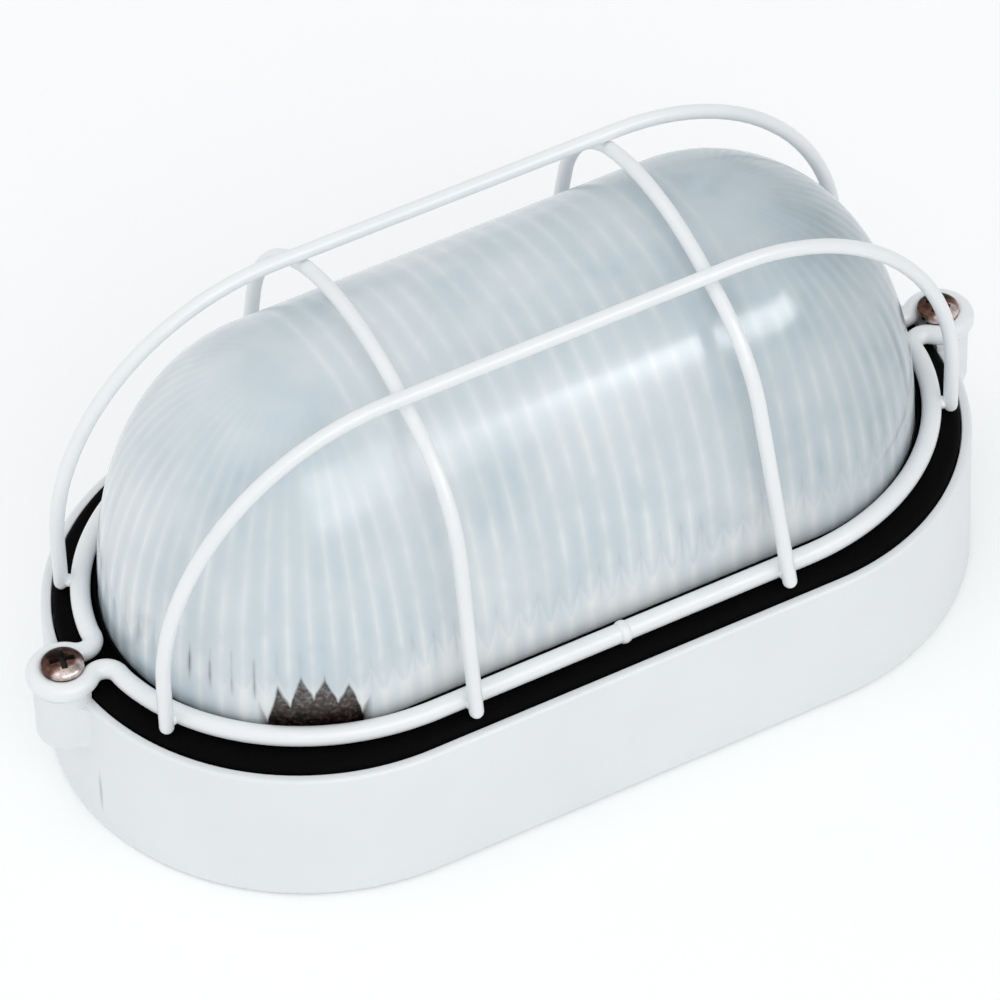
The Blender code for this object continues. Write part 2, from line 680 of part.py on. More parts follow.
def bracket(finish):
    """The lampholder's bracket, stamped and bent from one sheet."""
    level = BRACKET_LEVEL
    end = FOOT_X + FOOT_DEPTH / 2
    corners = [(BRACKET_X, LAMP_AXIS_HEIGHT + BRACKET_TOP), (BRACKET_X, level), (end, level)]
    path = rounded_path(corners, (BRACKET_BEND,), FILLET_STEPS)
    mesh = strip_mesh("lampholder_bracket", path, BRACKET_STEEL, BRACKET_WIDTH)
    made = place("lampholder_bracket", mesh, finish)
    size = (FOOT_DEPTH, FOOT_SPAN, BRACKET_STEEL)
    foot = place("foot", box_mesh("foot", size), None, at=(FOOT_X, 0, level))
    combine(made, "UNION", foot)
    nipple = cylinder_mesh("nipple_hole", NIPPLE_RADIUS + FIT, -CUT_PAST, CUT_PAST)
    holes = [lamp_axis("nipple_hole", nipple, None, BRACKET_X)]
    for side in (-1, 1):
        bore = (EARTH_SHANK / 2 + FIT, level - CUT_PAST, level + CUT_PAST)
        holes.append(round_cutter("foot_hole", foot_screw_place(side), *bore))
    combine(made, "DIFFERENCE", *holes)
    for name, side in (("near", -1), ("far", 1)):
        sizes = (EARTH_HEAD, EARTH_HEAD_HEIGHT, EARTH_SHANK, POST_HEIGHT + BRACKET_STEEL)
        seat = level + BRACKET_STEEL / 2 + FIT
        turn = FOOT_SCREW_TURN * side
        screw(f"bracket_screw_{name}", foot_screw_place(side), seat, sizes, finish, "cross", turn)
    return made


def lamp_axis(name, mesh, finish, x):
    """Places a piece turned round Z so that it lies along the lamp's axis, its +Z along +X."""
    return place(name, mesh, finish, at=(x, 0, LAMP_AXIS_HEIGHT), turn=(0, math.pi / 2, 0))


def lampholder(body, brass, steel):
    """The holder's moulded body with its nipple, the threaded shell, the contact and the nut."""
    rear = -NIPPLE_LENGTH - FIT
    widens = HOLDER_REAR_LENGTH + HOLDER_RADIUS - HOLDER_REAR_RADIUS
    profile = [
        (0, rear), (NIPPLE_RADIUS, rear), (NIPPLE_RADIUS, 0), (HOLDER_REAR_RADIUS, 0),
        (HOLDER_REAR_RADIUS, HOLDER_REAR_LENGTH), (HOLDER_RADIUS, widens),
        (HOLDER_RADIUS, HOLDER_LENGTH - HOLDER_CHAMFER), (HOLDER_RADIUS - HOLDER_CHAMFER, HOLDER_LENGTH),
        (HOLDER_BORE, HOLDER_LENGTH), (HOLDER_BORE, HOLDER_BASE), (0, HOLDER_BASE),
    ]
    made = lamp_axis("lampholder_body", turned_mesh("lampholder_body", profile), body, HOLDER_REAR)
    holes = []
    for side in (-1, 1):
        mesh = cylinder_mesh("lead_hole", LEAD_RADIUS + FIT, -HOLDER_RADIUS, 0)
        holes.append(place("lead_hole", mesh, None, at=lead_hole(side, -LEAD_HOLE_DEPTH)))
    combine(made, "DIFFERENCE", *holes)
    outer = SHELL_BORE + SHELL_WALL
    lip = SHELL_LIP_RADIUS
    shell = [
        (lip, FIT), (outer, FIT), (outer, SHELL_LENGTH), (SHELL_BORE, SHELL_LENGTH),
        (SHELL_BORE, FIT + SHELL_WALL), (lip, FIT + SHELL_WALL), (lip, FIT),
    ]
    lamp_axis("lampholder_shell", turned_mesh("lampholder_shell", shell), brass, CUP_BOTTOM)
    low = CUP_BOTTOM + FIT + CONTACT_STEEL / 2
    high = BULB_TIP - FIT - CONTACT_STEEL / 2
    corners = [(low, -CONTACT_REACH), (low, CONTACT_FOLD), (high, CONTACT_FOLD - CONTACT_RISE),
               (high, -CONTACT_TIP)]
    path = rounded_path(corners, (CONTACT_STEEL, CONTACT_STEEL), FILLET_STEPS)
    mesh = strip_mesh("lampholder_contact", path, CONTACT_STEEL, CONTACT_WIDTH)
    place("lampholder_contact", mesh, brass, at=(0, 0, LAMP_AXIS_HEIGHT))
    nut = hexagon_mesh("lampholder_nut", NUT_FLATS, NUT_THICKNESS, NIPPLE_RADIUS + FIT)
    nut_x = BRACKET_X - BRACKET_STEEL / 2 - FIT - NUT_THICKNESS
    lamp_axis("lampholder_nut", nut, steel, nut_x)


def hexagon_mesh(name, flats, thickness, bore):
    """A hexagon nut with its bore."""
    bm = bmesh.new()
    corner = flats / math.sqrt(3)
    rings = []
    for height in (0, thickness):
        for radius, count in ((bore, SMALL_SEGMENTS), (corner, 6)):
            bmesh.ops.create_circle(bm, cap_ends=False, radius=radius, segments=count,
                                    matrix=Matrix.Translation((0, 0, height)))
            rings.append([vert for vert in bm.verts if vert not in sum(rings, [])])
    for a, b in ((0, 1), (2, 3), (0, 2), (1, 3)):
        pair = set(rings[a]) | set(rings[b])
        edges = [edge for edge in bm.edges
                 if set(edge.verts) <= set(rings[a]) or set(edge.verts) <= set(rings[b])]
        bmesh.ops.bridge_loops(bm, edges=[edge for edge in edges if set(edge.verts) <= pair])
    return finished(bm, name)


def bulb(finish):
    """A filament bulb with its screw cap, sealed and so one solid."""
    centre = BULB_LENGTH - BULB_RADIUS
    neck_end = centre - BULB_SHOULDER
    meet = math.sqrt(BULB_RADIUS**2 - BULB_SHOULDER**2)
    neck = []
    for k in range(CROWN_STEPS):
        share = k / CROWN_STEPS
        radius = BULB_NECK_RADIUS + (meet - BULB_NECK_RADIUS) * share**2
        neck.append((radius, BULB_NECK_START + (neck_end - BULB_NECK_START) * share))
    start = -math.asin(BULB_SHOULDER / BULB_RADIUS)
    globe = arc_points((0, centre), BULB_RADIUS, start, math.pi / 2 - start, GLOBE_STEPS)
    profile = [
        (0, 0), (CAP_BUTTON_RADIUS, 0), (CAP_BUTTON_RADIUS, CAP_BUTTON),
        (CAP_INSULATOR_RADIUS, CAP_INSULATOR), (CAP_RADIUS, CAP_SHOULDER), (CAP_RADIUS, CAP_LENGTH),
        *neck, *globe[:-1], (0, BULB_LENGTH),
    ]
    return lamp_axis("bulb", turned_mesh("bulb", profile), finish, BULB_TIP)


def barrel_place(pole):
    """Centre of one pole's brass barrel."""
    return (BLOCK_X, BLOCK_Y + pole * POLE_SPACING / 2, BLOCK_BASE + BARREL_HEIGHT)


def terminal_block(body, brass, steel):
    """A two-pole block: moulded body, a brass barrel in each pole, clamp screws and its fixing screw."""
    size = (BLOCK_LENGTH, BLOCK_WIDTH, BLOCK_HEIGHT)
    centre = (BLOCK_X, BLOCK_Y, BLOCK_BASE + BLOCK_HEIGHT / 2)
    made = place("terminal_block", box_mesh("terminal_block", size, BLOCK_CHAMFER), body, at=centre)
    bore = (BLOCK_SCREW / 2 + FIT, 0, BLOCK_TOP + CUT_PAST)
    holes = [round_cutter("block_bore", (BLOCK_X, BLOCK_Y), *bore)]
    for name, pole in (("line", -1), ("neutral", 1)):
        at = barrel_place(pole)
        tunnel = cylinder_mesh("pole_tunnel", BARREL_RADIUS + FIT, -BLOCK_LENGTH, BLOCK_LENGTH)
        holes.append(place("pole_tunnel", tunnel, None, at=at, turn=(0, math.pi / 2, 0)))
        wells = []
        for end_name, end in (("inlet", 1), ("outlet", -1)):
            spot = (at[0] + end * CLAMP_SPACING / 2, at[1])
            well = (CLAMP_DIAMETER / 2 + FIT, at[2], BLOCK_TOP + CUT_PAST)
            wells.append(round_cutter("clamp_well", spot, *well))
            tip = at[2] + LEAD_RADIUS + FIT
            mesh = cylinder_mesh(f"clamp_screw_{name}_{end_name}", CLAMP_DIAMETER / 2, tip, BLOCK_TOP)
            place(f"clamp_screw_{name}_{end_name}", mesh, steel, at=(*spot, 0))
        holes += wells
        combine(barrel(name, at, brass), "DIFFERENCE", *wells)
    combine(made, "DIFFERENCE", *holes)
    sizes = (BLOCK_SCREW_HEAD, BLOCK_SCREW_HEAD_HEIGHT, BLOCK_SCREW, BLOCK_HEIGHT + POST_HEIGHT)
    screw("terminal_block_screw", (BLOCK_X, BLOCK_Y), BLOCK_TOP + FIT, sizes, steel, "slot")


def barrel(name, at, finish):
    """The brass barrel of one pole, bored from end to end."""
    half = BARREL_LENGTH / 2
    profile = [(BARREL_BORE, -half), (BARREL_RADIUS, -half), (BARREL_RADIUS, half),
               (BARREL_BORE, half), (BARREL_BORE, -half)]
    mesh = turned_mesh(f"terminal_{name}", profile, SMALL_SEGMENTS)
    return place(f"terminal_{name}", mesh, finish, at=at, turn=(0, math.pi / 2, 0))


def lead_hole(side, z):
    """Where one lead enters the lampholder's base from below."""
    return (HOLDER_REAR + LEAD_HOLE_INSET, side * LEAD_HOLE_SPACING / 2, LAMP_AXIS_HEIGHT + z)


def leads(line, neutral):
    """The two inner leads, each bent by hand from its barrel to the lampholder's base."""
    for name, pole, finish in (("line", -1, line), ("neutral", 1, neutral)):
        barrel = Vector(barrel_place(pole))
        inside = barrel - Vector((CLAMP_SPACING / 2 + CLAMP_DIAMETER, 0, 0))
        mouth = barrel - Vector((BLOCK_LENGTH / 2 + LEAD_OUT, 0, 0))
        top = Vector(lead_hole(pole, -LEAD_DEPTH))
        below = top - Vector((0, 0, LEAD_RISE))
        wire(f"lead_{name}", smooth_route([inside, mouth, below, top]), LEAD_RADIUS, finish)


def smooth_route(stops):
    """Points along a cubic from the first pair of stops, which give its start, to the last pair."""
    start, start_way, end_way, end = stops
    pull = start_way + (start_way - start).normalized() * LEAD_START_PULL
    draw = end_way + (end_way - end).normalized() * LEAD_END_PULL
    points = []
    for k in range(LEAD_STEPS + 1):
        t = k / LEAD_STEPS
        u = 1 - t
        points.append(start_way * u**3 + pull * 3 * u * u * t + draw * 3 * u * t * t + end_way * t**3)
    return [start, *points, end]


def earth_terminal(steel, brass):
    """The earth screw on its post, with the washer that holds the earth wire."""
    low = POST_TOP + FIT
    high = low + WASHER_THICKNESS
    bore = EARTH_SHANK / 2 + FIT
    profile = [(bore, low), (WASHER_RADIUS, low), (WASHER_RADIUS, high), (bore, high), (bore, low)]
    place("earth_washer", turned_mesh("earth_washer", profile), brass, at=(EARTH_X, EARTH_Y, 0))
    sizes = (EARTH_HEAD, EARTH_HEAD_HEIGHT, EARTH_SHANK, POST_HEIGHT + WASHER_THICKNESS)
    screw("earth_screw", (EARTH_X, EARTH_Y), high + FIT, sizes, steel, "cross")


def cable_grommet(finish):
    """A rubber grommet in the cable entry, its flange on the floor and its snout cut for the cable."""
    sleeve = ENTRY_RADIUS - FIT
    flange = GROMMET_FLANGE
    low = FLOOR + FIT
    high = low + GROMMET_WALL
    snout = high + GROMMET_WALL
    profile = [
        (CABLE_BORE, FIT), (sleeve, FIT), (sleeve, low), (flange, low), (flange, high),
        (sleeve, high), (CABLE_BORE + GROMMET_WALL, snout), (CABLE_BORE, snout), (CABLE_BORE, FIT),
    ]
    mesh = turned_mesh("cable_grommet", profile)
    return place("cable_grommet", mesh, finish, at=(ENTRY_X, 0, 0))


def cover_screws(finish):
    sizes = (HEAD_DIAMETER, HEAD_HEIGHT, SCREW_DIAMETER, SCREW_LENGTH - HEAD_HEIGHT)
    for name, side in (("left", -1), ("right", 1)):
        at = (side * BOSS_X, 0)
        screw(f"cover_screw_{name}", at, SCREW_SEAT, sizes, finish, "cross", SCREW_TURNS[name])


def main():
    for item in list(bpy.data.objects):
        bpy.data.objects.remove(item)
    white = material("white_paint", (0.85, 0.87, 0.88), 0.35)
    coating = material("white_coating", (0.86, 0.88, 0.89), 0.4)
    rubber = material("black_rubber", (0.012, 0.012, 0.013), 0.6)
    clear = material("satin_glass", (0.72, 0.80, 0.82), 0.25, transmission=0.6)
    bronze = material("bronzed_steel", (0.16, 0.08, 0.06), 0.3, metallic=1.0)
    zinc = material("zinc_plated_steel", (0.62, 0.62, 0.60), 0.3, metallic=1.0)
    brass = material("brass", (0.72, 0.50, 0.20), 0.3, metallic=1.0)
    phenolic = material("black_phenolic", (0.02, 0.018, 0.016), 0.3)
    opal = material("frosted_bulb", (0.88, 0.88, 0.86), 0.3)
    brown = material("brown_insulation", (0.16, 0.06, 0.02), 0.4)
    blue = material("blue_insulation", (0.02, 0.10, 0.40), 0.4)
    housing(white)
    gasket(rubber)
    glass(clear)
    guard(coating)
    cover_screws(bronze)
    bracket(zinc)
    lampholder(phenolic, brass, zinc)
    bulb(opal)
    terminal_block(phenolic, brass, zinc)
    leads(brown, blue)
    earth_terminal(zinc, brass)
    cable_grommet(rubber)


main()
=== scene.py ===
# %% [markdown]
# An oval bulkhead wall lamp, dressed for the camera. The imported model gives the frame: every solid is
# already in place, in metres, with the lamp on its back and its glass facing up. Each visible piece is
# made again here with finer curves, on the same sizes, and takes the place of its plain solid.

# %% Load the frame
import json
import math

import bmesh
import bpy
from mathutils import Matrix, Vector

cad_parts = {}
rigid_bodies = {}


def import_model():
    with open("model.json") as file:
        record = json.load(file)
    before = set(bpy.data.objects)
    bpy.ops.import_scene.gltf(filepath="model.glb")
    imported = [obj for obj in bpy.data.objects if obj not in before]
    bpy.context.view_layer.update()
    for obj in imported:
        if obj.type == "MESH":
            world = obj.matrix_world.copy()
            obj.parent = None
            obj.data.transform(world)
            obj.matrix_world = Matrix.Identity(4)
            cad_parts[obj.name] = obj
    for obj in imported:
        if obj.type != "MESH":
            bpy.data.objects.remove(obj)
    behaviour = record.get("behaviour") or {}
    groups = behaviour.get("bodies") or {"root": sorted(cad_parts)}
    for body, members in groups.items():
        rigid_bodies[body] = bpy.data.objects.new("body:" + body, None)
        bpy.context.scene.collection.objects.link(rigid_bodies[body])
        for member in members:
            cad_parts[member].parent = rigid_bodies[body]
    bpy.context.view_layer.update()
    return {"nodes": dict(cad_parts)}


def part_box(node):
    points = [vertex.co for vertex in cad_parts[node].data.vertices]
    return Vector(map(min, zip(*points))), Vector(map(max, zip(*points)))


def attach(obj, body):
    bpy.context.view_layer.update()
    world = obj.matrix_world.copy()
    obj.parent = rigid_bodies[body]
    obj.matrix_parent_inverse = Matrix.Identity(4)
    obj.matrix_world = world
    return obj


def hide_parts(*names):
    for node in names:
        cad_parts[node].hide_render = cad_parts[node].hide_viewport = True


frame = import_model()

# %% [markdown]
# The camera stands well back with a long lens, above the near side and round towards the left end, so
# the lamp's edges stay almost parallel. Its place and turn come from lining up the lamp's outline.

# %% Camera
CAMERA_PLACE = (-0.4862, -0.9201, 1.0641)
CAMERA_TURN = (45.2596, 1.3104, -29.0341)
CAMERA_LENS = 263.4


def in_scene(name, data):
    """A new object with this data, in the scene."""
    made = bpy.data.objects.new(name, data)
    bpy.context.scene.collection.objects.link(made)
    return made


camera = in_scene("camera", bpy.data.cameras.new("camera"))
camera.location = CAMERA_PLACE
camera.rotation_euler = [math.radians(angle) for angle in CAMERA_TURN]
camera.data.lens = CAMERA_LENS
camera.data.clip_end = 50
bpy.context.scene.camera = camera
print("lens", camera.data.lens, "mm, distance", round(Vector(CAMERA_PLACE).length, 3), "m")

# %% [markdown]
# Every material starts from the real finish. Colours are written as sRGB hex, as a paint card gives them,
# and turned to linear light once, here. One small function adds a node and links it. Patterns are given by
# their real size in millimetres, and a noise wants that as so many to the metre.


# %% Material helpers
def to_linear(code):
    """An sRGB hex colour as linear RGBA."""
    parts = [int(code[k:k + 2], 16) / 255 for k in (1, 3, 5)]
    return (*[part / 12.92 if part <= 0.04045 else ((part + 0.055) / 1.055) ** 2.4 for part in parts], 1)


def per_metre(size):
    """How many times a pattern of this size, in millimetres, fits in a metre."""
    return 1000 / size


def feed(tree, node, inputs):
    """Sets or links a node's inputs, given by name or in order. A node stands for its first live output.

    A MapRange takes, in order, a value, its two limits, and what they become.
    """
    for name, value in inputs.items() if isinstance(inputs, dict) else enumerate(inputs):
        if isinstance(value, bpy.types.Node):
            value = next(socket for socket in value.outputs if socket.enabled)
        if isinstance(value, bpy.types.NodeSocket):
            tree.links.new(value, node.inputs[name])
        else:
            node.inputs[name].default_value = value


def add(tree, kind, inputs=(), **settings):
    """Adds a node, sets its options, and feeds its inputs."""
    node = tree.nodes.new("ShaderNode" + kind)
    for name, value in settings.items():
        setattr(node, name, value)
    feed(tree, node, inputs)
    return node


def finish(name, **sockets):
    """A Principled material with these sockets set. It returns the material, its tree and its shader."""
    made = bpy.data.materials.new(name)
    made.use_nodes = True
    shader = made.node_tree.nodes["Principled BSDF"]
    feed(made.node_tree, shader, {socket.replace("_", " "): value for socket, value in sockets.items()})
    return made, made.node_tree, shader


def set_colours(ramp, stops):
    """Gives a colour ramp these colours at these positions, the first and last of them at its ends."""
    first, *inner, last = stops.items()
    for element, (position, code) in zip(ramp.color_ramp.elements, (first, last)):
        element.position = position
        element.color = to_linear(code)
    for position, code in inner:
        ramp.color_ramp.elements.new(position).color = to_linear(code)


def mottle(tree, shader, dark, light, patch):
    """Varies the base colour softly between two colours, in patches of this size. It returns the place."""
    place = add(tree, "TexCoord").outputs["Object"]
    cloud = add(tree, "TexNoise", {"Vector": place, "Scale": per_metre(patch), "Detail": 3})
    ramp = add(tree, "ValToRGB", {"Fac": cloud})
    set_colours(ramp, {0.3: dark, 0.7: light})
    feed(tree, shader, {"Base Color": ramp})
    return place


def grain(tree, shader, place, size, height):
    """A fine relief on the surface, its bumps this far apart and this high, both in millimetres."""
    cloud = add(tree, "TexNoise", {"Vector": place, "Scale": per_metre(size), "Detail": 2})
    bump = add(tree, "Bump", {"Height": cloud, "Distance": height / 1000, "Strength": 1.0})
    feed(tree, shader, {"Normal": bump})


print("white card", [round(value, 3) for value in to_linear("#EEEEEE")])

# %% [markdown]
# The housing is an aluminium casting with satin white paint, and the wires are dipped in white plastic. It
# is their small unevenness that makes them look sprayed or dipped. The enamel also carries one soft grey
# upright streak on the left end wall.

# %% White finishes
STREAK_PLACE = (-0.0984, -0.0097, 0.010)
STREAK_SIZE = (0.0007, 0.0007, 0.0068)

# Sprayed enamel: a slightly cool white with a wide, soft highlight that its 1 mm orange peel just breaks
paint, tree, shader = finish("satin_white_enamel", Roughness=0.42, IOR=1.5)
place = mottle(tree, shader, "#E9ECEE", "#EDF0F1", 25)
grain(tree, shader, place, 1.11, 0.02)
# A soft grey upright streak on the left end wall, mixed into the enamel's colour
streak_place = add(tree, "Mapping", {"Vector": place, "Location": STREAK_PLACE, "Scale": STREAK_SIZE},
                 vector_type="TEXTURE")
off_streak = add(tree, "VectorMath", (streak_place,), operation="LENGTH")
streak_share = add(tree, "MapRange", (off_streak, 0.3, 1.0, 0.5, 0.0))
unstreaked = shader.inputs["Base Color"].links[0].from_socket
streaked = add(tree, "Mix", {"Factor": streak_share, 6: unstreaked, 7: to_linear("#9AA6AB")}, data_type="RGBA")
feed(tree, shader, {"Base Color": streaked})

# Dipped plastic: whiter and glossier than the paint, without peel, and only slowly uneven where it ran
coating, tree, shader = finish("dipped_white_plastic", Roughness=0.36, IOR=1.5)
place = mottle(tree, shader, "#EEF1F2", "#F3F5F6", 16.7)
grain(tree, shader, place, 4, 0.04)
print("white finishes", paint.name, coating.name)

# %% [markdown]
# The gasket is moulded EPDM rubber. The cover screws are bronzed steel: a brown oxide over the metal in
# patches, with a painted highlight across the near side of each head. A ramp from brown to a pinkish painted
# highlight, driven by patches and by the place across the head, gives both. The bottom of the cross is
# painted black, as painted shade in the recess.

# %% Rubber and bronzed steel
# Where the painted highlight is brightest and where it has faded to brown, across a screw's head
HEAD_HIGHLIGHT, HEAD_BROWN = -0.0042, 0.0030  # from bright to brown across a screw's head

# Moulded rubber: almost black, with hardly a highlight, and a faint bloom in patches of 3 mm
rubber, tree, shader = finish("moulded_epdm_rubber", Roughness=0.8, IOR=1.5, Specular_IOR_Level=0.06)
place = mottle(tree, shader, "#010101", "#030303", 3.33)
grain(tree, shader, place, 0.667, 0.02)

# Bronzed steel: brown with patches of 2 to 3 mm, and a pinkish painted highlight across the near side of each
# head
bronze, tree, shader = finish("bronzed_steel", Roughness=0.22, Metallic=1.0)
place = add(tree, "TexCoord").outputs["Object"]
patina = add(tree, "TexNoise", {"Vector": place, "Scale": per_metre(2.38), "Detail": 3})
across = add(tree, "SeparateXYZ", {"Vector": place}).outputs["Y"]
# Painted highlight: lighter towards the near side of each head
painted_highlight = add(tree, "MapRange", (across, HEAD_HIGHLIGHT, HEAD_BROWN, 0.38, -0.30))
patina_and_highlight = add(tree, "Math", (patina, painted_highlight), operation="ADD")
browns = add(tree, "ValToRGB", {"Fac": patina_and_highlight})
set_colours(browns, {0.3: "#24120E", 0.6: "#75564B", 0.9: "#EADAD6"})
feed(tree, shader, {"Base Color": browns})
grain(tree, shader, place, 1.43, 0.03)

# Painted shade in the cross: dull and dark, so the cross reads as deep
recess_shade, tree, shader = finish("painted_recess_shade", Roughness=0.6, IOR=1.5)
place = mottle(tree, shader, "#060303", "#140B09", 2)
grain(tree, shader, place, 0.833, 0.02)
print("dark finishes", rubber.name, bronze.name, recess_shade.name)

# %% [markdown]
# Inside, the fittings are what such lamps hold. They hardly show through the satin glass, but they keep
# their own solids and get true finishes, because the lamp may be shown open.

# %% Inner finishes
# Shader values, dark and light colour, sizes of patches and grain in millimetres, and the nodes that wear it
CLAMP_SCREWS = [f"clamp_screw_{pole}_{end}" for pole in ("line", "neutral") for end in ("inlet", "outlet")]
INNER_FINISHES = {
    # Moulded phenolic: brown-black with a dull shine
    "moulded_phenolic": ({"Roughness": 0.35, "IOR": 1.55}, "#151311", "#1E1B18", 5, 1.25,
                         ["lampholder_body", "terminal_block"]),
    # Drawn brass: warm yellow, a little uneven where it has tarnished
    "drawn_brass": ({"Roughness": 0.28, "Metallic": 1.0}, "#B8923F", "#CFAE62", 3.33, 0.833,
                    ["lampholder_shell", "lampholder_contact", "terminal_line", "terminal_neutral",
                     "earth_washer"]),
    # Zinc plating: a cool grey sheen
    "zinc_plated_steel": ({"Roughness": 0.3, "Metallic": 1.0}, "#B9BCBE", "#D2D4D5", 3.85, 1.11,
                          ["lampholder_bracket", "lampholder_nut", "bracket_screw_near", "bracket_screw_far",
                           "terminal_block_screw", *CLAMP_SCREWS, "earth_screw"]),
    # Extruded sleeves: brown and blue, evenly satin
    "brown_pvc_sleeve": ({"Roughness": 0.45, "IOR": 1.5}, "#5A3420", "#68402A", 5, 1.43, ["lead_line"]),
    "blue_pvc_sleeve": ({"Roughness": 0.45, "IOR": 1.5}, "#1F4E96", "#2B5CA6", 5, 1.43, ["lead_neutral"]),
}


def dress(nodes, made):
    """Gives these solids this material."""
    for node in nodes:
        mesh = frame["nodes"][node].data
        mesh.materials.clear()
        mesh.materials.append(made)


for name, (sockets, dark, light, patch, size, nodes) in INNER_FINISHES.items():
    made, tree, shader = finish(name, **sockets)
    grain(tree, shader, mottle(tree, shader, dark, light, patch), size, 0.01)
    dress(nodes, made)
dress(["cable_grommet"], rubber)

# Frosted glass: a warm white that hides the filament
opal, tree, shader = finish("frosted_lamp_glass", Roughness=0.3, IOR=1.5)
grain(tree, shader, mottle(tree, shader, "#E8E8E4", "#F0F0EC", 12.5), 1.67, 0.01)
print("inner finishes", len(INNER_FINISHES), "and", opal.name)

# %% [markdown]
# Sizes repeat the solids' own, in metres, so that each finer piece takes exactly the room of its plain
# one, and neighbours keep the solids' small gap. The plan of the lamp is a racetrack, two straights and two
# half turns, so one helper carries any section round it, and another turns a section round an axis.

# %% Sizes and modelling helpers
FIT = 0.0003
HALF = 0.046
HOUSING_RADIUS = 0.0534
RIM_RADIUS = 0.0531
REBATE_RADIUS = 0.0510
GLASS_RADIUS = 0.0415
FLANGE_RADIUS = 0.0482
FLANGE_BASE = 0.0288
FLANGE_TOP = 0.0312
DISH_RADIUS = 0.0427
GROOVE_INNER = 0.0453
GROOVE_TOP = 0.0235
SEAT_HEIGHT = 0.026
RIM_HEIGHT = 0.032
FLOOR = 0.0025
BOSS_X = 0.100
BOSS_TOP = 0.0337
RING_Z = 0.036
GLASS_BASE = 0.034
GLASS_RISE = 0.060
TURN_STEPS = 72


def arc(centre, radius, start, sweep, steps):
    """Points along an arc in a plane, both ends included. Angles are in degrees."""
    angles = [math.radians(start + sweep * k / steps) for k in range(steps + 1)]
    return [(centre[0] + radius * math.cos(a), centre[1] + radius * math.sin(a)) for a in angles]


def verts_of(geometry):
    """The points among what an operator gave back."""
    return [item for item in geometry if isinstance(item, bmesh.types.BMVert)]


def edges_of(geometry):
    """The edges among what an operator gave back."""
    return [item for item in geometry if isinstance(item, bmesh.types.BMEdge)]


def racetrack(profile, half=HALF, turn_steps=TURN_STEPS, straight_steps=1):
    """Carries a profile of (radius, height) points round the lamp's plan: spin, extrude, spin, extrude."""
    bm = bmesh.new()
    verts = [bm.verts.new((half, -radius, height)) for radius, height in profile]
    for pair in zip(verts, verts[1:]):
        bm.edges.new(pair)
    if profile[0] == profile[-1]:
        bmesh.ops.remove_doubles(bm, verts=bm.verts[:], dist=1e-7)
    moving = bm.verts[:] + bm.edges[:]
    for side in (1, -1):
        moving = bmesh.ops.spin(bm, geom=moving, cent=(side * half, 0, 0), axis=(0, 0, 1),
                                angle=math.pi, steps=turn_steps)["geom_last"]
        for _ in range(straight_steps):
            moving = bmesh.ops.extrude_edge_only(bm, edges=edges_of(moving))["geom"]
            moving = verts_of(moving) + edges_of(moving)
            bmesh.ops.translate(bm, verts=verts_of(moving), vec=(-2 * side * half / straight_steps, 0, 0))
    bmesh.ops.remove_doubles(bm, verts=bm.verts[:], dist=1e-6)
    return bm


def spun(profile, segments=64):
    """A full turn of a profile of (radius, height) points round Z."""
    bm = bmesh.new()
    verts = [bm.verts.new((radius, 0, height)) for radius, height in profile]
    edges = [bm.edges.new(pair) for pair in zip(verts, verts[1:])]
    bmesh.ops.spin(bm, geom=verts + edges, cent=(0, 0, 0), axis=(0, 0, 1), angle=math.tau,
                   steps=segments, use_merge=True)
    bmesh.ops.remove_doubles(bm, verts=bm.verts[:], dist=1e-7)
    return bm


def mesh_of(bm, name, smooth_under=40):
    """Turns the bmesh into a mesh with its faces out and its round sides smooth."""
    bmesh.ops.recalc_face_normals(bm, faces=bm.faces[:])
    mesh = bpy.data.meshes.new(name)
    bm.to_mesh(mesh)
    bm.free()
    mesh.shade_smooth()
    mesh.set_sharp_from_angle(angle=math.radians(smooth_under))
    return mesh


def show(name, mesh, material, slot, *nodes):
    """Puts a finished piece in the scene, riding on the lamp, in place of these solids."""
    piece = in_scene(name, mesh)
    mesh.materials.clear()
    mesh.materials.append(material)
    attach(piece, "root")
    if nodes:
        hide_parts(*nodes)
    return piece


def cut_or_join(mesh, operation, others):
    """Joins other meshes to this one, or cuts them from it, and returns the result as one mesh."""
    target = in_scene("target", mesh)
    group = bpy.data.collections.new("operands")
    bpy.context.scene.collection.children.link(group)
    for other in others:
        group.objects.link(bpy.data.objects.new("operand", other))
    modifier = target.modifiers.new("boolean", "BOOLEAN")
    modifier.operation = operation
    modifier.operand_type = "COLLECTION"
    modifier.collection = group
    modifier.solver = "EXACT"
    graph = bpy.context.evaluated_depsgraph_get()
    result = bpy.data.meshes.new_from_object(target.evaluated_get(graph))
    for item in [*group.objects, target]:
        bpy.data.objects.remove(item)
    bpy.data.collections.remove(group)
    bm = bmesh.new()
    bm.from_mesh(result)
    bmesh.ops.remove_doubles(bm, verts=bm.verts[:], dist=3e-6)
    bmesh.ops.dissolve_degenerate(bm, edges=bm.edges[:], dist=3e-6)
    bm.to_mesh(result)
    print(operation.lower(), "left", sum(not edge.is_manifold for edge in bm.edges), "open or doubled edges")
    bm.free()
    return result


print("racetrack", round(2 * (HALF + HOUSING_RADIUS), 4), "by", round(2 * HOUSING_RADIUS, 4), "m")

# %% [markdown]
# The housing is one casting. Its section is drawn once, from the middle of the floor out to the dish
# wall, over the gasket's seat and the rim, down the outer wall and back under the floor, and is carried
# round the racetrack. The two screw bosses are joined to it, with the hollow fillets that a casting has in
# such corners. The gasket's rebate then runs on through the bosses, and the holes are cut last.

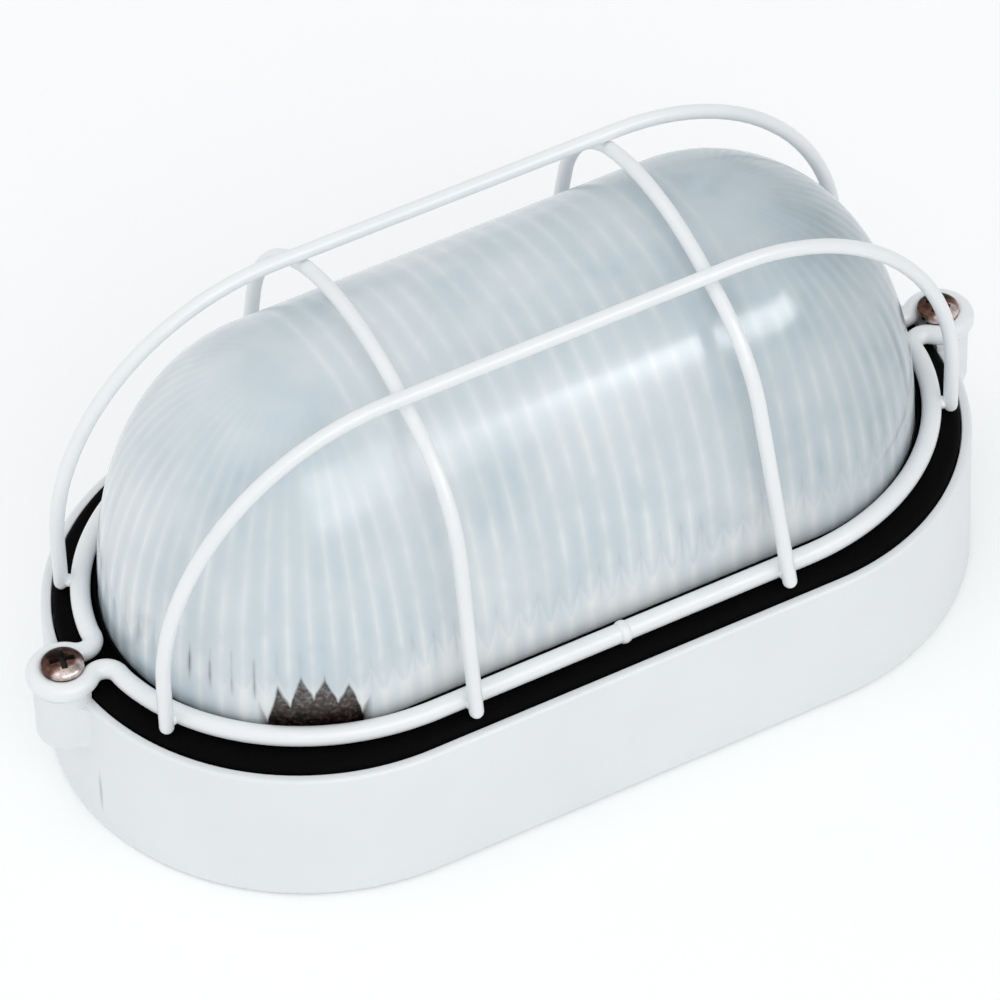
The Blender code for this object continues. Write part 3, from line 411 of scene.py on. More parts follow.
# %% Housing
RIM_ROUND = 0.0008
LIP_ROUND = 0.0003
DISH_FILLET = 0.003
FOOT_CHAMFER = 0.0006
shoulder = arc((RIM_RADIUS - RIM_ROUND, RIM_HEIGHT - RIM_ROUND), RIM_ROUND, 90, -90, 6)
rebate_lip = arc((REBATE_RADIUS + LIP_ROUND, RIM_HEIGHT - LIP_ROUND), LIP_ROUND, 180, -90, 3)
fillet = arc((DISH_RADIUS - DISH_FILLET, FLOOR + DISH_FILLET), DISH_FILLET, -90, 90, 8)
section = [(0, FLOOR), *fillet, (DISH_RADIUS, SEAT_HEIGHT), (REBATE_RADIUS, SEAT_HEIGHT), *rebate_lip,
           *shoulder, (HOUSING_RADIUS, FOOT_CHAMFER), (HOUSING_RADIUS - FOOT_CHAMFER, 0), (REBATE_RADIUS, 0),
           (REBATE_RADIUS, GROOVE_TOP), (GROOVE_INNER, GROOVE_TOP), (GROOVE_INNER, 0), (0, 0)]
casting = mesh_of(racetrack(section), "housing")


def upright(profile, at, segments=48):
    """A turned piece standing at a place in the plan, as a mesh."""
    bm = spun(profile, segments)
    bmesh.ops.translate(bm, verts=bm.verts[:], vec=(*at, 0))
    return mesh_of(bm, "turned")


BOSS_RADIUS = 0.0063
BOSS_BOTTOM = 0.0192
BOSS_FOOT_ROUND = 0.0022
BOSS_HEAD_ROUND = 0.0006
boss_foot = arc((BOSS_RADIUS - BOSS_FOOT_ROUND, BOSS_BOTTOM + BOSS_FOOT_ROUND), BOSS_FOOT_ROUND, -90, 90, 8)
boss_head = arc((BOSS_RADIUS - BOSS_HEAD_ROUND, BOSS_TOP - BOSS_HEAD_ROUND), BOSS_HEAD_ROUND, 0, 90, 4)
boss = [(0, BOSS_BOTTOM), *boss_foot, *boss_head, (0, BOSS_TOP)]
bosses = [upright(boss, (side * BOSS_X, 0)) for side in (-1, 1)]

FILLET_RADIUS = 0.003
FILLET_BOTTOM = BOSS_BOTTOM + 0.0016
WALL_AT_BOSS = 0.05315  # the tapered wall's radius half way up a boss
SUNK = 0.00005  # how far a fillet goes into both walls, so that the join leaves no sliver
INTO_WALL = 0.0012


def boss_fillets(side):
    """The two hollow corners between a boss and the end wall, filled: their plan, raised to a block."""
    from_wall = WALL_AT_BOSS + FILLET_RADIUS - SUNK
    from_boss = BOSS_RADIUS + FILLET_RADIUS - SUNK
    span = BOSS_X - HALF
    along = (from_wall**2 - from_boss**2 + span**2) / (2 * span)
    aside = math.sqrt(from_wall**2 - along**2)
    start = math.degrees(math.atan2(-aside, -along))
    end = math.degrees(math.atan2(-aside, span - along))
    corner = arc((HALF + along, aside), FILLET_RADIUS, start, end - start, 10)
    inner = (corner[0][0] - INTO_WALL, corner[0][1])
    plan = [inner, *corner, *[(x, -y) for x, y in reversed(corner)], (inner[0], -inner[1])]
    bm = bmesh.new()
    face = bm.faces.new([bm.verts.new((side * x, y, FILLET_BOTTOM)) for x, y in plan])
    raised = bmesh.ops.extrude_face_region(bm, geom=[face])["geom"]
    bmesh.ops.translate(bm, verts=verts_of(raised), vec=(0, 0, RIM_HEIGHT - RIM_ROUND - FILLET_BOTTOM))
    return mesh_of(bm, "boss_fillets")


casting = cut_or_join(casting, "UNION", bosses + [boss_fillets(side) for side in (-1, 1)])

CUT_PAST = 0.004  # how far a cutter reaches past what it cuts
CUT_TOP = 0.040  # over all of the casting
rebate = [(0, SEAT_HEIGHT), (REBATE_RADIUS, SEAT_HEIGHT), (REBATE_RADIUS, CUT_TOP), (0, CUT_TOP)]
casting = cut_or_join(casting, "DIFFERENCE", [mesh_of(racetrack(rebate), "rebate")])

# %% [markdown]
# Four posts stand on the floor: two for the lampholder's bracket, one for the earth screw and one for the
# terminal block. Each is bored for its screw, and the floor has the cable entry and two fixing holes.

# %% Posts and holes
M4_BORE, M3_BORE = 0.0023, 0.0018
POSTS = [((-0.058, -0.0223), M4_BORE), ((-0.058, 0.0223), M4_BORE), ((-0.004, 0.026), M4_BORE),
         ((-0.028, -0.024), M3_BORE)]
POST_RADIUS = 0.004
POST_ROOT = 0.001  # inside the floor
POST_TOP = 0.006
ENTRY_X, ENTRY_RADIUS = 0.038, 0.008
FIXING_X, FIXING_RADIUS = 0.078, 0.0026
BOSS_BORE_BOTTOM = 0.0246

post = [(0, POST_ROOT), (POST_RADIUS, POST_ROOT), (POST_RADIUS, POST_TOP), (0, POST_TOP)]
casting = cut_or_join(casting, "UNION", [upright(post, at) for at, _ in POSTS])


def drill(at, radius, low, high):
    """A cutter for a round hole, as a mesh."""
    return upright([(0, low), (radius, low), (radius, high), (0, high)], at, 40)


holes = [drill((ENTRY_X, 0), ENTRY_RADIUS, -CUT_PAST, FLOOR + CUT_PAST)]
holes += [drill((side * FIXING_X, 0), FIXING_RADIUS, -CUT_PAST, FLOOR + CUT_PAST) for side in (-1, 1)]
holes += [drill((side * BOSS_X, 0), M4_BORE, BOSS_BORE_BOTTOM, CUT_TOP) for side in (-1, 1)]
holes += [drill(at, bore, FLOOR / 2, POST_TOP + CUT_PAST) for at, bore in POSTS]
casting = cut_or_join(casting, "DIFFERENCE", holes)
casting.shade_smooth()
casting.set_sharp_from_angle(angle=math.radians(30))
housing = show("housing_casting", casting, paint, "white_paint", "housing")
print("housing", len(casting.polygons), "faces")

# %% [markdown]
# The gasket is one moulded rubber ring with a slot for the glass's flange, its outer top edge rounded as
# rubber comes out of a mould. A thin lip stands up from its inner edge and hugs the glass, to keep the rain
# out, and is the dark line inside the ring. A section carried round the racetrack gives it in one go.

# %% Gasket
GASKET_RADIUS = REBATE_RADIUS - FIT
GASKET_TOP = 0.0337
GASKET_BASE = SEAT_HEIGHT + FIT
GASKET_IN = GLASS_RADIUS + FIT
GASKET_ROUND = 0.0016
LIP_TOP = 0.0356
LIP_HALF = 0.0003  # half its thickness
outer_edge = arc((GASKET_RADIUS - GASKET_ROUND, GASKET_TOP - GASKET_ROUND), GASKET_ROUND, 0, 90, 8)
lip_foot = GASKET_IN + 2 * LIP_HALF
lip = [(lip_foot + LIP_HALF, GASKET_TOP), (lip_foot, GASKET_TOP + LIP_HALF),
       *arc((GASKET_IN + LIP_HALF, LIP_TOP - LIP_HALF), LIP_HALF, 0, 180, 6)]
slot = [(GASKET_IN, FLANGE_TOP + FIT), (FLANGE_RADIUS + FIT, FLANGE_TOP + FIT),
        (FLANGE_RADIUS + FIT, FLANGE_BASE - FIT), (GASKET_IN, FLANGE_BASE - FIT)]
section = [(GASKET_IN, GASKET_BASE), (GASKET_RADIUS, GASKET_BASE), *outer_edge, *lip, *slot,
           (GASKET_IN, GASKET_BASE)]
gasket = show("gasket_moulding", mesh_of(racetrack(section), "gasket"), rubber, "black_rubber", "gasket")
print("gasket", len(gasket.data.polygons), "faces")

# %% [markdown]
# The glass is pressed in a mould: smooth outside, with ribs inside that scatter the light. Its section is a
# superellipse, rounder than an arch. The mesh is one closed wall: up the outside, down the inside, round
# the flange. The ribs come last, by moving the inner points inward in a rounded tooth form. A rib
# starts as a point above the plain band, because its tooth grows out of the wall, and fades at the ends.

# %% Glass
GLASS_WALL = 0.0028
GLASS_POWER = 2.25
ROW_SPREAD = 1.25
FLANGE_EDGE = 0.0004
FLANGE_FILLET = 0.0008
RIB_DEPTH = 0.0009
RIB_FORM = 1.2
RIBS_PER_STRAIGHT = 20
RIBS_PER_END = 28
RIB_START = 0.008
RIB_RUN_IN = 0.007
RIB_FADE = 2.5
COLUMNS_PER_RIB = 6
GLASS_ROWS = 34


def dome_line(radius, rise, rows):
    """The dome's section from its foot to its ridge, with its rows closest at the foot."""
    angles = [math.pi / 2 * (k / rows) ** ROW_SPREAD for k in range(rows + 1)]
    power = 2 / GLASS_POWER
    line = [(radius * abs(math.cos(a)) ** power, GLASS_BASE + rise * math.sin(a) ** power) for a in angles]
    return [*line[:-1], (0, line[-1][1])]


def at_an_end(point):
    """Whether a point of the glass is on one of its two round ends."""
    return abs(point.x) > HALF + 1e-6


def ribs_along(point):
    """How many ribs a point is from the start of its straight side or of its round end."""
    if at_an_end(point):
        return math.atan2(abs(point.y), abs(point.x) - HALF) / math.pi * RIBS_PER_END
    return (point.x + HALF) / (2 * HALF) * RIBS_PER_STRAIGHT


def rib_at(point):
    """How far a rib stands out here, from 0 to 1, and the way inward."""
    ridge_x = math.copysign(HALF, point.x) if at_an_end(point) else point.x
    out = Vector((point.x - ridge_x, point.y, 0))
    share = min(out.length / (GLASS_RADIUS - GLASS_WALL), 1)
    fade = min(share * RIB_FADE, 1) if at_an_end(point) else 1
    tooth = 1 - abs(math.sin(math.pi * ribs_along(point))) ** RIB_FORM
    grown = min(max((point.z - GLASS_BASE - RIB_START) / RIB_RUN_IN, 0), 1)
    inward = (Vector((0, 0, share - 1)) - out.normalized() * share).normalized()
    return max(tooth - (1 - grown), 0) * fade, inward


outside = dome_line(GLASS_RADIUS, GLASS_RISE, GLASS_ROWS)
inside = dome_line(GLASS_RADIUS - GLASS_WALL, GLASS_RISE - GLASS_WALL, GLASS_ROWS)
flange = [(GLASS_RADIUS - GLASS_WALL, FLANGE_BASE), (FLANGE_RADIUS - FLANGE_EDGE, FLANGE_BASE),
          (FLANGE_RADIUS, FLANGE_BASE + FLANGE_EDGE), (FLANGE_RADIUS, FLANGE_TOP - FLANGE_EDGE),
          (FLANGE_RADIUS - FLANGE_EDGE, FLANGE_TOP), (GLASS_RADIUS + FLANGE_FILLET, FLANGE_TOP),
          (GLASS_RADIUS, FLANGE_TOP + FLANGE_FILLET)]
columns = {"turn_steps": RIBS_PER_END * COLUMNS_PER_RIB,
           "straight_steps": RIBS_PER_STRAIGHT * COLUMNS_PER_RIB}
bm = racetrack([*flange, *outside], **columns)
inner = racetrack([flange[0], *inside], **columns)
for vert in inner.verts:
    stands_out, inward = rib_at(vert.co)
    vert.co += inward * stands_out * RIB_DEPTH
inner_mesh = bpy.data.meshes.new("inner_dome")
inner.to_mesh(inner_mesh)
inner.free()
bm.from_mesh(inner_mesh)
bmesh.ops.remove_doubles(bm, verts=bm.verts[:], dist=1e-7)
glass_mesh = mesh_of(bm, "glass", smooth_under=60)
print("glass", len(glass_mesh.polygons), "faces")

# %% [markdown]
# The glass is soda glass with a faint blue-green cast and a satin skin. The skin ends above the plain band,
# in points that follow the ribs, and low on the near left the dark, shaded inside is painted on it, as
# painted
# shade seen through the glass. These patterns follow the ribs and not the axes, so each point of the mesh
# keeps four values for the material:
# how far it is from a rib, how strong the rib lines are, and whether it is in the painted shade patch or
# beside it.

# %% Rib, skin and thin-skin values on the glass
SHADE_PATCH, PATCH_EDGE = (14, 37), 12  # in degrees round the left end, from its near side
SHADE_SLITS, TICKS_EDGE = (40, 64), 3
CALM_FROM, CALM_EDGE = HALF - 0.0025, 0.004  # the rib lines fade at the ends, from the rim to the ridge
CALM_RIDGE, CALM_RIM = 0.2, 0.9


def between(value, low, high, edge):
    """1 between the two limits and 0 outside, soft over the edge."""
    return min(max(min(value - low, high - value) / edge + 0.5, 0), 1)


def away_from_rib(point):
    """0 on the middle of a rib and 1 half way to the next, in even steps."""
    return 2 * abs(ribs_along(point) - round(ribs_along(point)))


values = {name: glass_mesh.attributes.new(name, "FLOAT", "POINT").data
          for name in ("away", "calm", "patch", "ticks")}
for vert in glass_mesh.vertices:
    end_share = math.hypot(max(abs(vert.co.x) - HALF, 0), vert.co.y) / GLASS_RADIUS
    full = min(max((end_share - CALM_RIDGE) / (CALM_RIM - CALM_RIDGE), 0), 1)
    angle = math.degrees(math.atan2(-vert.co.x - HALF, -vert.co.y))
    on_left = vert.co.x < -HALF
    here = (away_from_rib(vert.co), 1 - between(abs(vert.co.x), CALM_FROM, 1, CALM_EDGE) * (1 - full),
            between(angle, *SHADE_PATCH, PATCH_EDGE) * on_left,
            between(angle, *SHADE_SLITS, TICKS_EDGE) * on_left)
    for data, value in zip(values.values(), here):
        data[vert.index].value = value
print("values on", len(glass_mesh.vertices), "points of the glass")

# %% [markdown]
# Transmission with some roughness lets the light through and blurs what is behind. The skin is the pale
# base colour under it: lighter along the ribs, where the glass is thick, and slowly uneven as a sprayed
# skin is. Sizes are heights over the glass's foot, or places along the lamp, in metres.

# %% Glass finish
EDGE_LOW, EDGE_HIGH = -0.0006, 0.0010  # the skin's edge, from bare glass to full skin
SKIN_WANDER = 0.002
SPIKE_DROP = 0.008

satin, tree, shader = finish("satin_pressed_glass", IOR=1.5)
place = add(tree, "TexCoord").outputs["Object"]
apart = add(tree, "SeparateXYZ", {"Vector": place})
along = apart.outputs["X"]
height = add(tree, "Math", (apart.outputs["Z"], GLASS_BASE), operation="SUBTRACT")
away, calm, patch, ticks = [add(tree, "Attribute", attribute_name=name).outputs["Fac"] for name in values]

# The skin's foot is an uneven zigzag: low on a rib, high between two
patchy = add(tree, "TexNoise", {"Vector": place, "Scale": per_metre(9.09), "Detail": 2})
wander = add(tree, "MapRange", (patchy, 0.3, 0.7, RIB_START - SKIN_WANDER, RIB_START + SKIN_WANDER))
foot = add(tree, "Math", (away, RIB_RUN_IN, wander), operation="MULTIPLY_ADD")
above = add(tree, "Math", (height, foot), operation="SUBTRACT")
bare = add(tree, "MapRange", (above, EDGE_LOW, EDGE_HIGH, 1.0, 0.0))

# Ribs show as thin light lines, uneven along their length and weaker towards the ridge
cloud = add(tree, "TexNoise", {"Vector": place, "Scale": per_metre(22.2), "Detail": 3})
uneven = add(tree, "MapRange", (patchy, 0.36, 0.62, 0.3))
low = add(tree, "MapRange", (height, 0, GLASS_RISE, 0.62, 0.26))
middle = add(tree, "Math", (1.0, away), operation="SUBTRACT")
line = add(tree, "Math", (middle, 2.2), operation="POWER")
for share in (uneven, calm):
    line = add(tree, "Math", (line, share), operation="MULTIPLY")
lift = add(tree, "Math", (line, low, cloud), operation="MULTIPLY_ADD")
# The bare band is lighter: painted light against the shade that the ring and gasket cast over it
lift = add(tree, "Math", (bare, 0.22, lift), operation="MULTIPLY_ADD")

# Painted shade: the whole right end is greyer, and so is the bare band at the left end
right_end_shade = add(tree, "MapRange", (along, 0.015, 0.085, 0, -0.3))
lift = add(tree, "Math", (lift, right_end_shade), operation="ADD")
left_foot_shade = add(tree, "MapRange", (along, -0.088, -0.074, -0.5, 0.0))
lift = add(tree, "Math", (bare, left_foot_shade, lift), operation="MULTIPLY_ADD")
tone = add(tree, "ValToRGB", {"Fac": lift})
set_colours(tone, {0.1: "#B6C6CD", 0.35: "#D5E2E9", 1.0: "#F8FCFC"})

# Painted shade: below the zigzag the dark inside is painted as if seen through the glass, brown at the
# bottom, grey in the points, and lower towards the patch's two sides
depth = add(tree, "MapRange", (height, 0.004, 0.0125, -0.2, 0.22))
specks = add(tree, "TexNoise", {"Vector": place, "Scale": per_metre(0.909), "Detail": 2})
specks = add(tree, "Math", (specks, depth), operation="ADD")
painted_inside_shade = add(tree, "ValToRGB", {"Fac": specks})
set_colours(painted_inside_shade, {0.25: "#150C09", 0.5: "#4A3E39", 0.85: "#84898B"})
lowered = add(tree, "Math", (patch, -SPIKE_DROP, above), operation="MULTIPLY_ADD")
shade_spikes = add(tree, "MapRange", (lowered, EDGE_LOW - SPIKE_DROP, EDGE_HIGH - SPIKE_DROP, 1.0, 0.0))
sides = add(tree, "MapRange", (patch, 0.15, 0.4))
dark = add(tree, "Math", (shade_spikes, sides), operation="MULTIPLY")
colour = add(tree, "Mix", {"Factor": dark, 6: tone, 7: painted_inside_shade}, data_type="RGBA")

# Beside it, painted shade shows only in thin slits, high between the ribs, and faint ones all along
slit_foot = add(tree, "MapRange", (height, 0.0075, 0.0115))
slit_head = add(tree, "MapRange", (above, 0.0005, 0.0045, 1.0, 0.0))
shown = add(tree, "MapRange", (ticks, 0, 1, 0.16, 0.8))
shade_slit = add(tree, "Math", (away, 7.0), operation="POWER")
for share in (slit_foot, slit_head, uneven, shown):
    shade_slit = add(tree, "Math", (shade_slit, share), operation="MULTIPLY")
colour = add(tree, "Mix", {"Factor": shade_slit, 6: colour, 7: to_linear("#3C4446")}, data_type="RGBA")
feed(tree, shader, {"Base Color": colour})

# Transmission rises towards the right end, so more of the dark inside shows through there and adds to its
# painted shade
clear = add(tree, "MapRange", (along, 0.01, 0.085, 0.15, 0.42))
feed(tree, shader, {"Transmission Weight": clear})

# The bare band is a little smoother than the skin, and the moulding leaves a soft ripple of 2 mm on both
dull = add(tree, "MapRange", (bare, 0, 1, 0.17, 0.11))
feed(tree, shader, {"Roughness": dull})
grain(tree, shader, place, 2, 0.02)
glass = show("glass_dome", glass_mesh, satin, "satin_glass", "glass")

# %% [markdown]
# The guard is bent from round steel wire: a 4 mm ring that necks into an eye round each screw, and four
# 3 mm bows welded to its outer side. A circle is carried along each bent path: extruded, turned to the
# new direction and moved on, as a wire comes out of a bender. The free ends of the bows are domed by
# extruding and shrinking the last circle.

# %% Wire bending helpers
RING_WIRE = 0.004
BOW_WIRE = 0.003
WELD_GAP = 0.0003
RING_HALF_WIDTH = 0.0456
RING_END_X = 0.04175
RING_END_DEPTH = 0.0495
EYE_RADIUS = 0.0055
NECK_RADIUS = 0.0032
WIRE_OFFSET = (RING_WIRE + BOW_WIRE) / 2 + WELD_GAP
LEG_TIP = 0.034


def follow(bm, edges, points, closed=False):
    """Carries a loop of edges along the points. It returns the last loop."""
    count = len(points)
    ways = []
    for k, here in enumerate(points):
        before = points[k - 1] if k or closed else here
        after = points[(k + 1) % count] if k < count - 1 or closed else here
        ways.append((after - before).normalized())
    first = edges
    for k in range(1, count):
        moved = bmesh.ops.extrude_edge_only(bm, edges=edges)["geom"]
        turn = ways[k - 1].rotation_difference(ways[k]).to_matrix()
        bmesh.ops.rotate(bm, verts=verts_of(moved), cent=points[k - 1], matrix=turn)
        bmesh.ops.translate(bm, verts=verts_of(moved), vec=points[k] - points[k - 1])
        edges = [edge for edge in edges_of(moved) if edge.is_boundary]
    if closed:
        bmesh.ops.bridge_loops(bm, edges=first + edges)
    return edges


def dome_end(bm, edges, centre, way, radius):
    """Closes the end of a wire with a half ball of its own radius."""
    reached = 0
    size = 1
    for angle in (25, 50, 70):
        moved = bmesh.ops.extrude_edge_only(bm, edges=edges)["geom"]
        reach = radius * math.sin(math.radians(angle))
        share = math.cos(math.radians(angle))
        move = Matrix.Translation(-(centre + way * reached))
        bmesh.ops.scale(bm, vec=[share / size] * 3, space=move, verts=verts_of(moved))
        bmesh.ops.translate(bm, verts=verts_of(moved), vec=way * (reach - reached))
        edges = [edge for edge in edges_of(moved) if edge.is_boundary]
        reached, size = reach, share
    fan = bmesh.ops.holes_fill(bm, edges=edges, sides=0)["faces"]
    tip = bmesh.ops.poke(bm, faces=fan)["verts"]
    bmesh.ops.translate(bm, verts=tip, vec=way * (radius - reached))


def bent_wire(name, points, radius, sides=20, closed=False):
    """A round wire along the points, as a mesh."""
    points = [Vector(point) for point in points]
    bm = bmesh.new()
    last = points[-1] if closed else points[0]
    way = (points[1] - last).normalized()
    turn = Vector((0, 0, 1)).rotation_difference(way).to_matrix().to_4x4()
    bmesh.ops.create_circle(bm, segments=sides, radius=radius, matrix=Matrix.Translation(points[0]) @ turn)
    start = bm.edges[:]
    end = follow(bm, start, points, closed)
    if not closed:
        dome_end(bm, end, points[-1], (points[-1] - points[-2]).normalized(), radius)
        dome_end(bm, start, points[0], (points[0] - points[1]).normalized(), radius)
    return mesh_of(bm, name)


print("bow stands off the ring by", round(WIRE_OFFSET * 1000, 2), "mm")

# %% [markdown]
# The ring's path is worked out for one quarter: half an ellipse's end, a tight neck, and a half of the
# eye. It is mirrored for the rest. The ring's two straight sides follow by themselves. Its neck is bent a
# little wider than in the plain solid, so that the dark gasket shows between its two halves.


# %% Guard ring
def ring_quarter():
    """The centre line of a quarter of the ring, from the end of its side to the outside of its eye."""
    reach = EYE_RADIUS + NECK_RADIUS
    neck_x = RING_END_X + RING_END_DEPTH + NECK_RADIUS
    neck_y = math.sqrt(reach**2 - (BOSS_X - neck_x) ** 2)
    side_end = math.asin(neck_y / RING_HALF_WIDTH)
    neck_x = RING_END_X + RING_END_DEPTH * math.cos(side_end) + NECK_RADIUS
    neck_y = math.sqrt(reach**2 - (BOSS_X - neck_x) ** 2)
    toward_eye = math.degrees(math.atan2(neck_y, neck_x - BOSS_X))
    steps = 60
    angles = [math.pi / 2 + (side_end - math.pi / 2) * (k / steps) for k in range(steps)]
    bend = [(RING_END_X + RING_END_DEPTH * math.cos(a), RING_HALF_WIDTH * math.sin(a)) for a in angles]
    neck = arc((neck_x, neck_y), NECK_RADIUS, -180, toward_eye, 14)
    eye = arc((BOSS_X, 0), EYE_RADIUS, toward_eye, -toward_eye, 24)
    return bend + neck + eye[1:]


quarter = ring_quarter()
half_ring = quarter + [(x, -y) for x, y in reversed(quarter[:-1])]
ring_path = [(x, y, RING_Z) for x, y in half_ring + [(-x, -y) for x, y in half_ring]]
ring_mesh = bent_wire("guard_ring", ring_path, RING_WIRE / 2, sides=24, closed=True)
print("ring", len(ring_mesh.polygons), "faces")

# %% [markdown]
# A bow is a straight wire pushed round two or three formers. Each path here is a few corners, each rounded
# to its former. The long bows lie flat along the lamp. The cross bows pass under them, and both were bent
# by hand a little differently, so each leans from its feet to its own top.


# %% Bows
def rounded_path(corners, radii, steps=24):
    """A path through the corners, each inner one rounded to its radius."""
    path = [Vector(corners[0])]
    for before, corner, after, radius in zip(corners, corners[1:], corners[2:], radii):
        corner = Vector(corner)
        to_before = (Vector(before) - corner).normalized()
        to_after = (Vector(after) - corner).normalized()
        half_angle = to_before.angle(to_after) / 2
        centre = corner + (to_before + to_after).normalized() * radius / math.sin(half_angle)
        first = corner + to_before * radius / math.tan(half_angle) - centre
        last = corner + to_after * radius / math.tan(half_angle) - centre
        start = math.degrees(math.atan2(first.y, first.x))
        sweep = (math.degrees(math.atan2(last.y, last.x)) - start + 180) % 360 - 180
        path += [Vector(point) for point in arc(centre, radius, start, sweep, steps)]
    return path + [Vector(corners[-1])]


LONG_BOW_Y = 0.0229
LONG_BOW_Z = RING_Z + 0.0615
LONG_BOW_CORNER = 0.0507
CROSSING_Z = LONG_BOW_Z - BOW_WIRE - WELD_GAP
FOOT_START = LEG_TIP + BOW_WIRE / 2

share = LONG_BOW_Y / RING_HALF_WIDTH
ring_x = RING_END_X + RING_END_DEPTH * math.sqrt(1 - share**2)
normal = Vector(((ring_x - RING_END_X) / RING_END_DEPTH**2, LONG_BOW_Y / RING_HALF_WIDTH**2))
long_foot = ring_x + WIRE_OFFSET / normal.normalized().x
long_corners = [(-long_foot, FOOT_START), (-long_foot, LONG_BOW_Z), (long_foot, LONG_BOW_Z),
                (long_foot, FOOT_START)]
long_profile = rounded_path(long_corners, (LONG_BOW_CORNER, LONG_BOW_CORNER))
bow_meshes = {}
for name, side in (("near", -1), ("far", 1)):
    path = [(x, side * LONG_BOW_Y, z) for x, z in long_profile]
    bow_meshes[f"long_bow_{name}"] = bent_wire(f"long_bow_{name}", path, BOW_WIRE / 2)

ROOF_RADIUS = 0.059
ROOF_ANGLE = math.radians(24)
SHOULDER_RADIUS = 0.029


def cross_bow_profile(half_roof):
    """A cross bow seen along the lamp: two leaning legs, two shoulders and a round roof."""
    crown = CROSSING_Z + ROOF_RADIUS - math.sqrt(ROOF_RADIUS**2 - LONG_BOW_Y**2)
    apex = crown + ROOF_RADIUS * (1 / math.cos(ROOF_ANGLE) - 1)
    shoulder = apex - half_roof * math.tan(ROOF_ANGLE)
    to_ring = Vector((RING_HALF_WIDTH - half_roof, RING_Z - shoulder))
    leg_angle = math.atan2(to_ring.y, to_ring.x) + math.asin(WIRE_OFFSET / to_ring.length)
    foot = half_roof + (FOOT_START - shoulder) / math.tan(leg_angle)
    corners = [(-foot, FOOT_START), (-half_roof, shoulder), (0, apex), (half_roof, shoulder),
               (foot, FOOT_START)]
    return rounded_path(corners, (SHOULDER_RADIUS, ROOF_RADIUS, SHOULDER_RADIUS))


def cross_bow(name, feet_x, near_x, far_x, inset):
    """One cross bow, leaned along the lamp from its feet to its near and far tops."""
    path = []
    for y, z in cross_bow_profile(RING_HALF_WIDTH - inset):
        across = min(max(0.5 + y / (2 * LONG_BOW_Y), 0), 1)
        rise = min(max((z - RING_Z) / (CROSSING_Z - RING_Z), 0), 1)
        top_x = near_x + (far_x - near_x) * across
        path.append((feet_x + (top_x - feet_x) * rise, y, z))
    return bent_wire(name, path, BOW_WIRE / 2)


# Where the feet, the near top and the far top are along the lamp, and how far in the shoulders begin
CROSS_BOWS = {"left": (-0.0351, -0.0338, -0.0320, 0.0044), "right": (0.0355, 0.0337, 0.0360, 0.0091)}
for name, bends in CROSS_BOWS.items():
    bow_meshes[f"cross_bow_{name}"] = cross_bow(f"cross_bow_{name}", *bends)
for name, mesh in bow_meshes.items():
    show(f"{name}_wire", mesh, coating, "white_coating", name)
show("guard_ring_wire", ring_mesh, coating, "white_coating", "guard_ring")
print("bows", {name: len(mesh.polygons) for name, mesh in bow_meshes.items()})

# %% [markdown]
# Where a bow's foot stands against the ring, the weld has squeezed out a small bead, and the dipped
# coating rounds it. Each bead is a ball pressed flat between the two wires, so it sinks into both.

# %% Weld beads
BEAD_SIZE = (0.0012, 0.0014, 0.0012)


def weld_bead(bm, leg, out):
    """A bead between the ring and the leg that stands at this place, out from the ring."""
    out = Vector((*out, 0)).normalized()
    contact = Vector((*leg, RING_Z)) - out * (BOW_WIRE + WELD_GAP) / 2
    turn = Vector((1, 0, 0)).rotation_difference(out).to_matrix().to_4x4()
    made = bmesh.ops.create_uvsphere(bm, u_segments=20, v_segments=12, radius=1)["verts"]
    bmesh.ops.scale(bm, vec=BEAD_SIZE, verts=made)
    bmesh.ops.transform(bm, matrix=Matrix.Translation(contact) @ turn, verts=made)


beads = bmesh.new()
long_out = normal.normalized()
for side in (1, -1):
    for end in (1, -1):
        leg = (end * long_foot, side * LONG_BOW_Y)
        weld_bead(beads, leg, (end * long_out.x, side * long_out.y))
    for feet_x, *_ in CROSS_BOWS.values():
        weld_bead(beads, (feet_x, side * (RING_HALF_WIDTH + WIRE_OFFSET)), (0, side))
show("weld_beads", mesh_of(beads, "weld_beads"), coating, "white_coating")
print("weld beads at the long bows' feet, x =", round(long_foot * 1000, 1), "mm")

# %% [markdown]
# The ring's two ends meet on the near straight side, butt-welded. The weld leaves a low collar of flash
# round the wire, a little off centre because the ends never meet quite true.

# %% Butt weld
FLASH_X = -0.0002
FLASH_SUNK, FLASH_HEIGHT, FLASH_HALF = 0.0002, 0.0006, 0.0011
OFF_CENTRE = 0.0001
collar = arc((0, 0), 1, -90, 180, 10)
profile = [(RING_WIRE / 2 - FLASH_SUNK + FLASH_HEIGHT * x, FLASH_HALF * z) for x, z in collar]
flash = spun(profile, 28)
bmesh.ops.rotate(flash, verts=flash.verts[:], matrix=Matrix.Rotation(math.pi / 2, 3, "Y"))
bmesh.ops.translate(flash, verts=flash.verts[:],
                    vec=(FLASH_X, -RING_HALF_WIDTH - OFF_CENTRE, RING_Z + OFF_CENTRE))
bmesh.ops.holes_fill(flash, edges=[edge for edge in flash.edges if edge.is_boundary], sides=0)
show("ring_butt_weld", mesh_of(flash, "ring_butt_weld"), coating, "white_coating")
print("butt weld at x =", round(FLASH_X * 1000, 1), "mm")
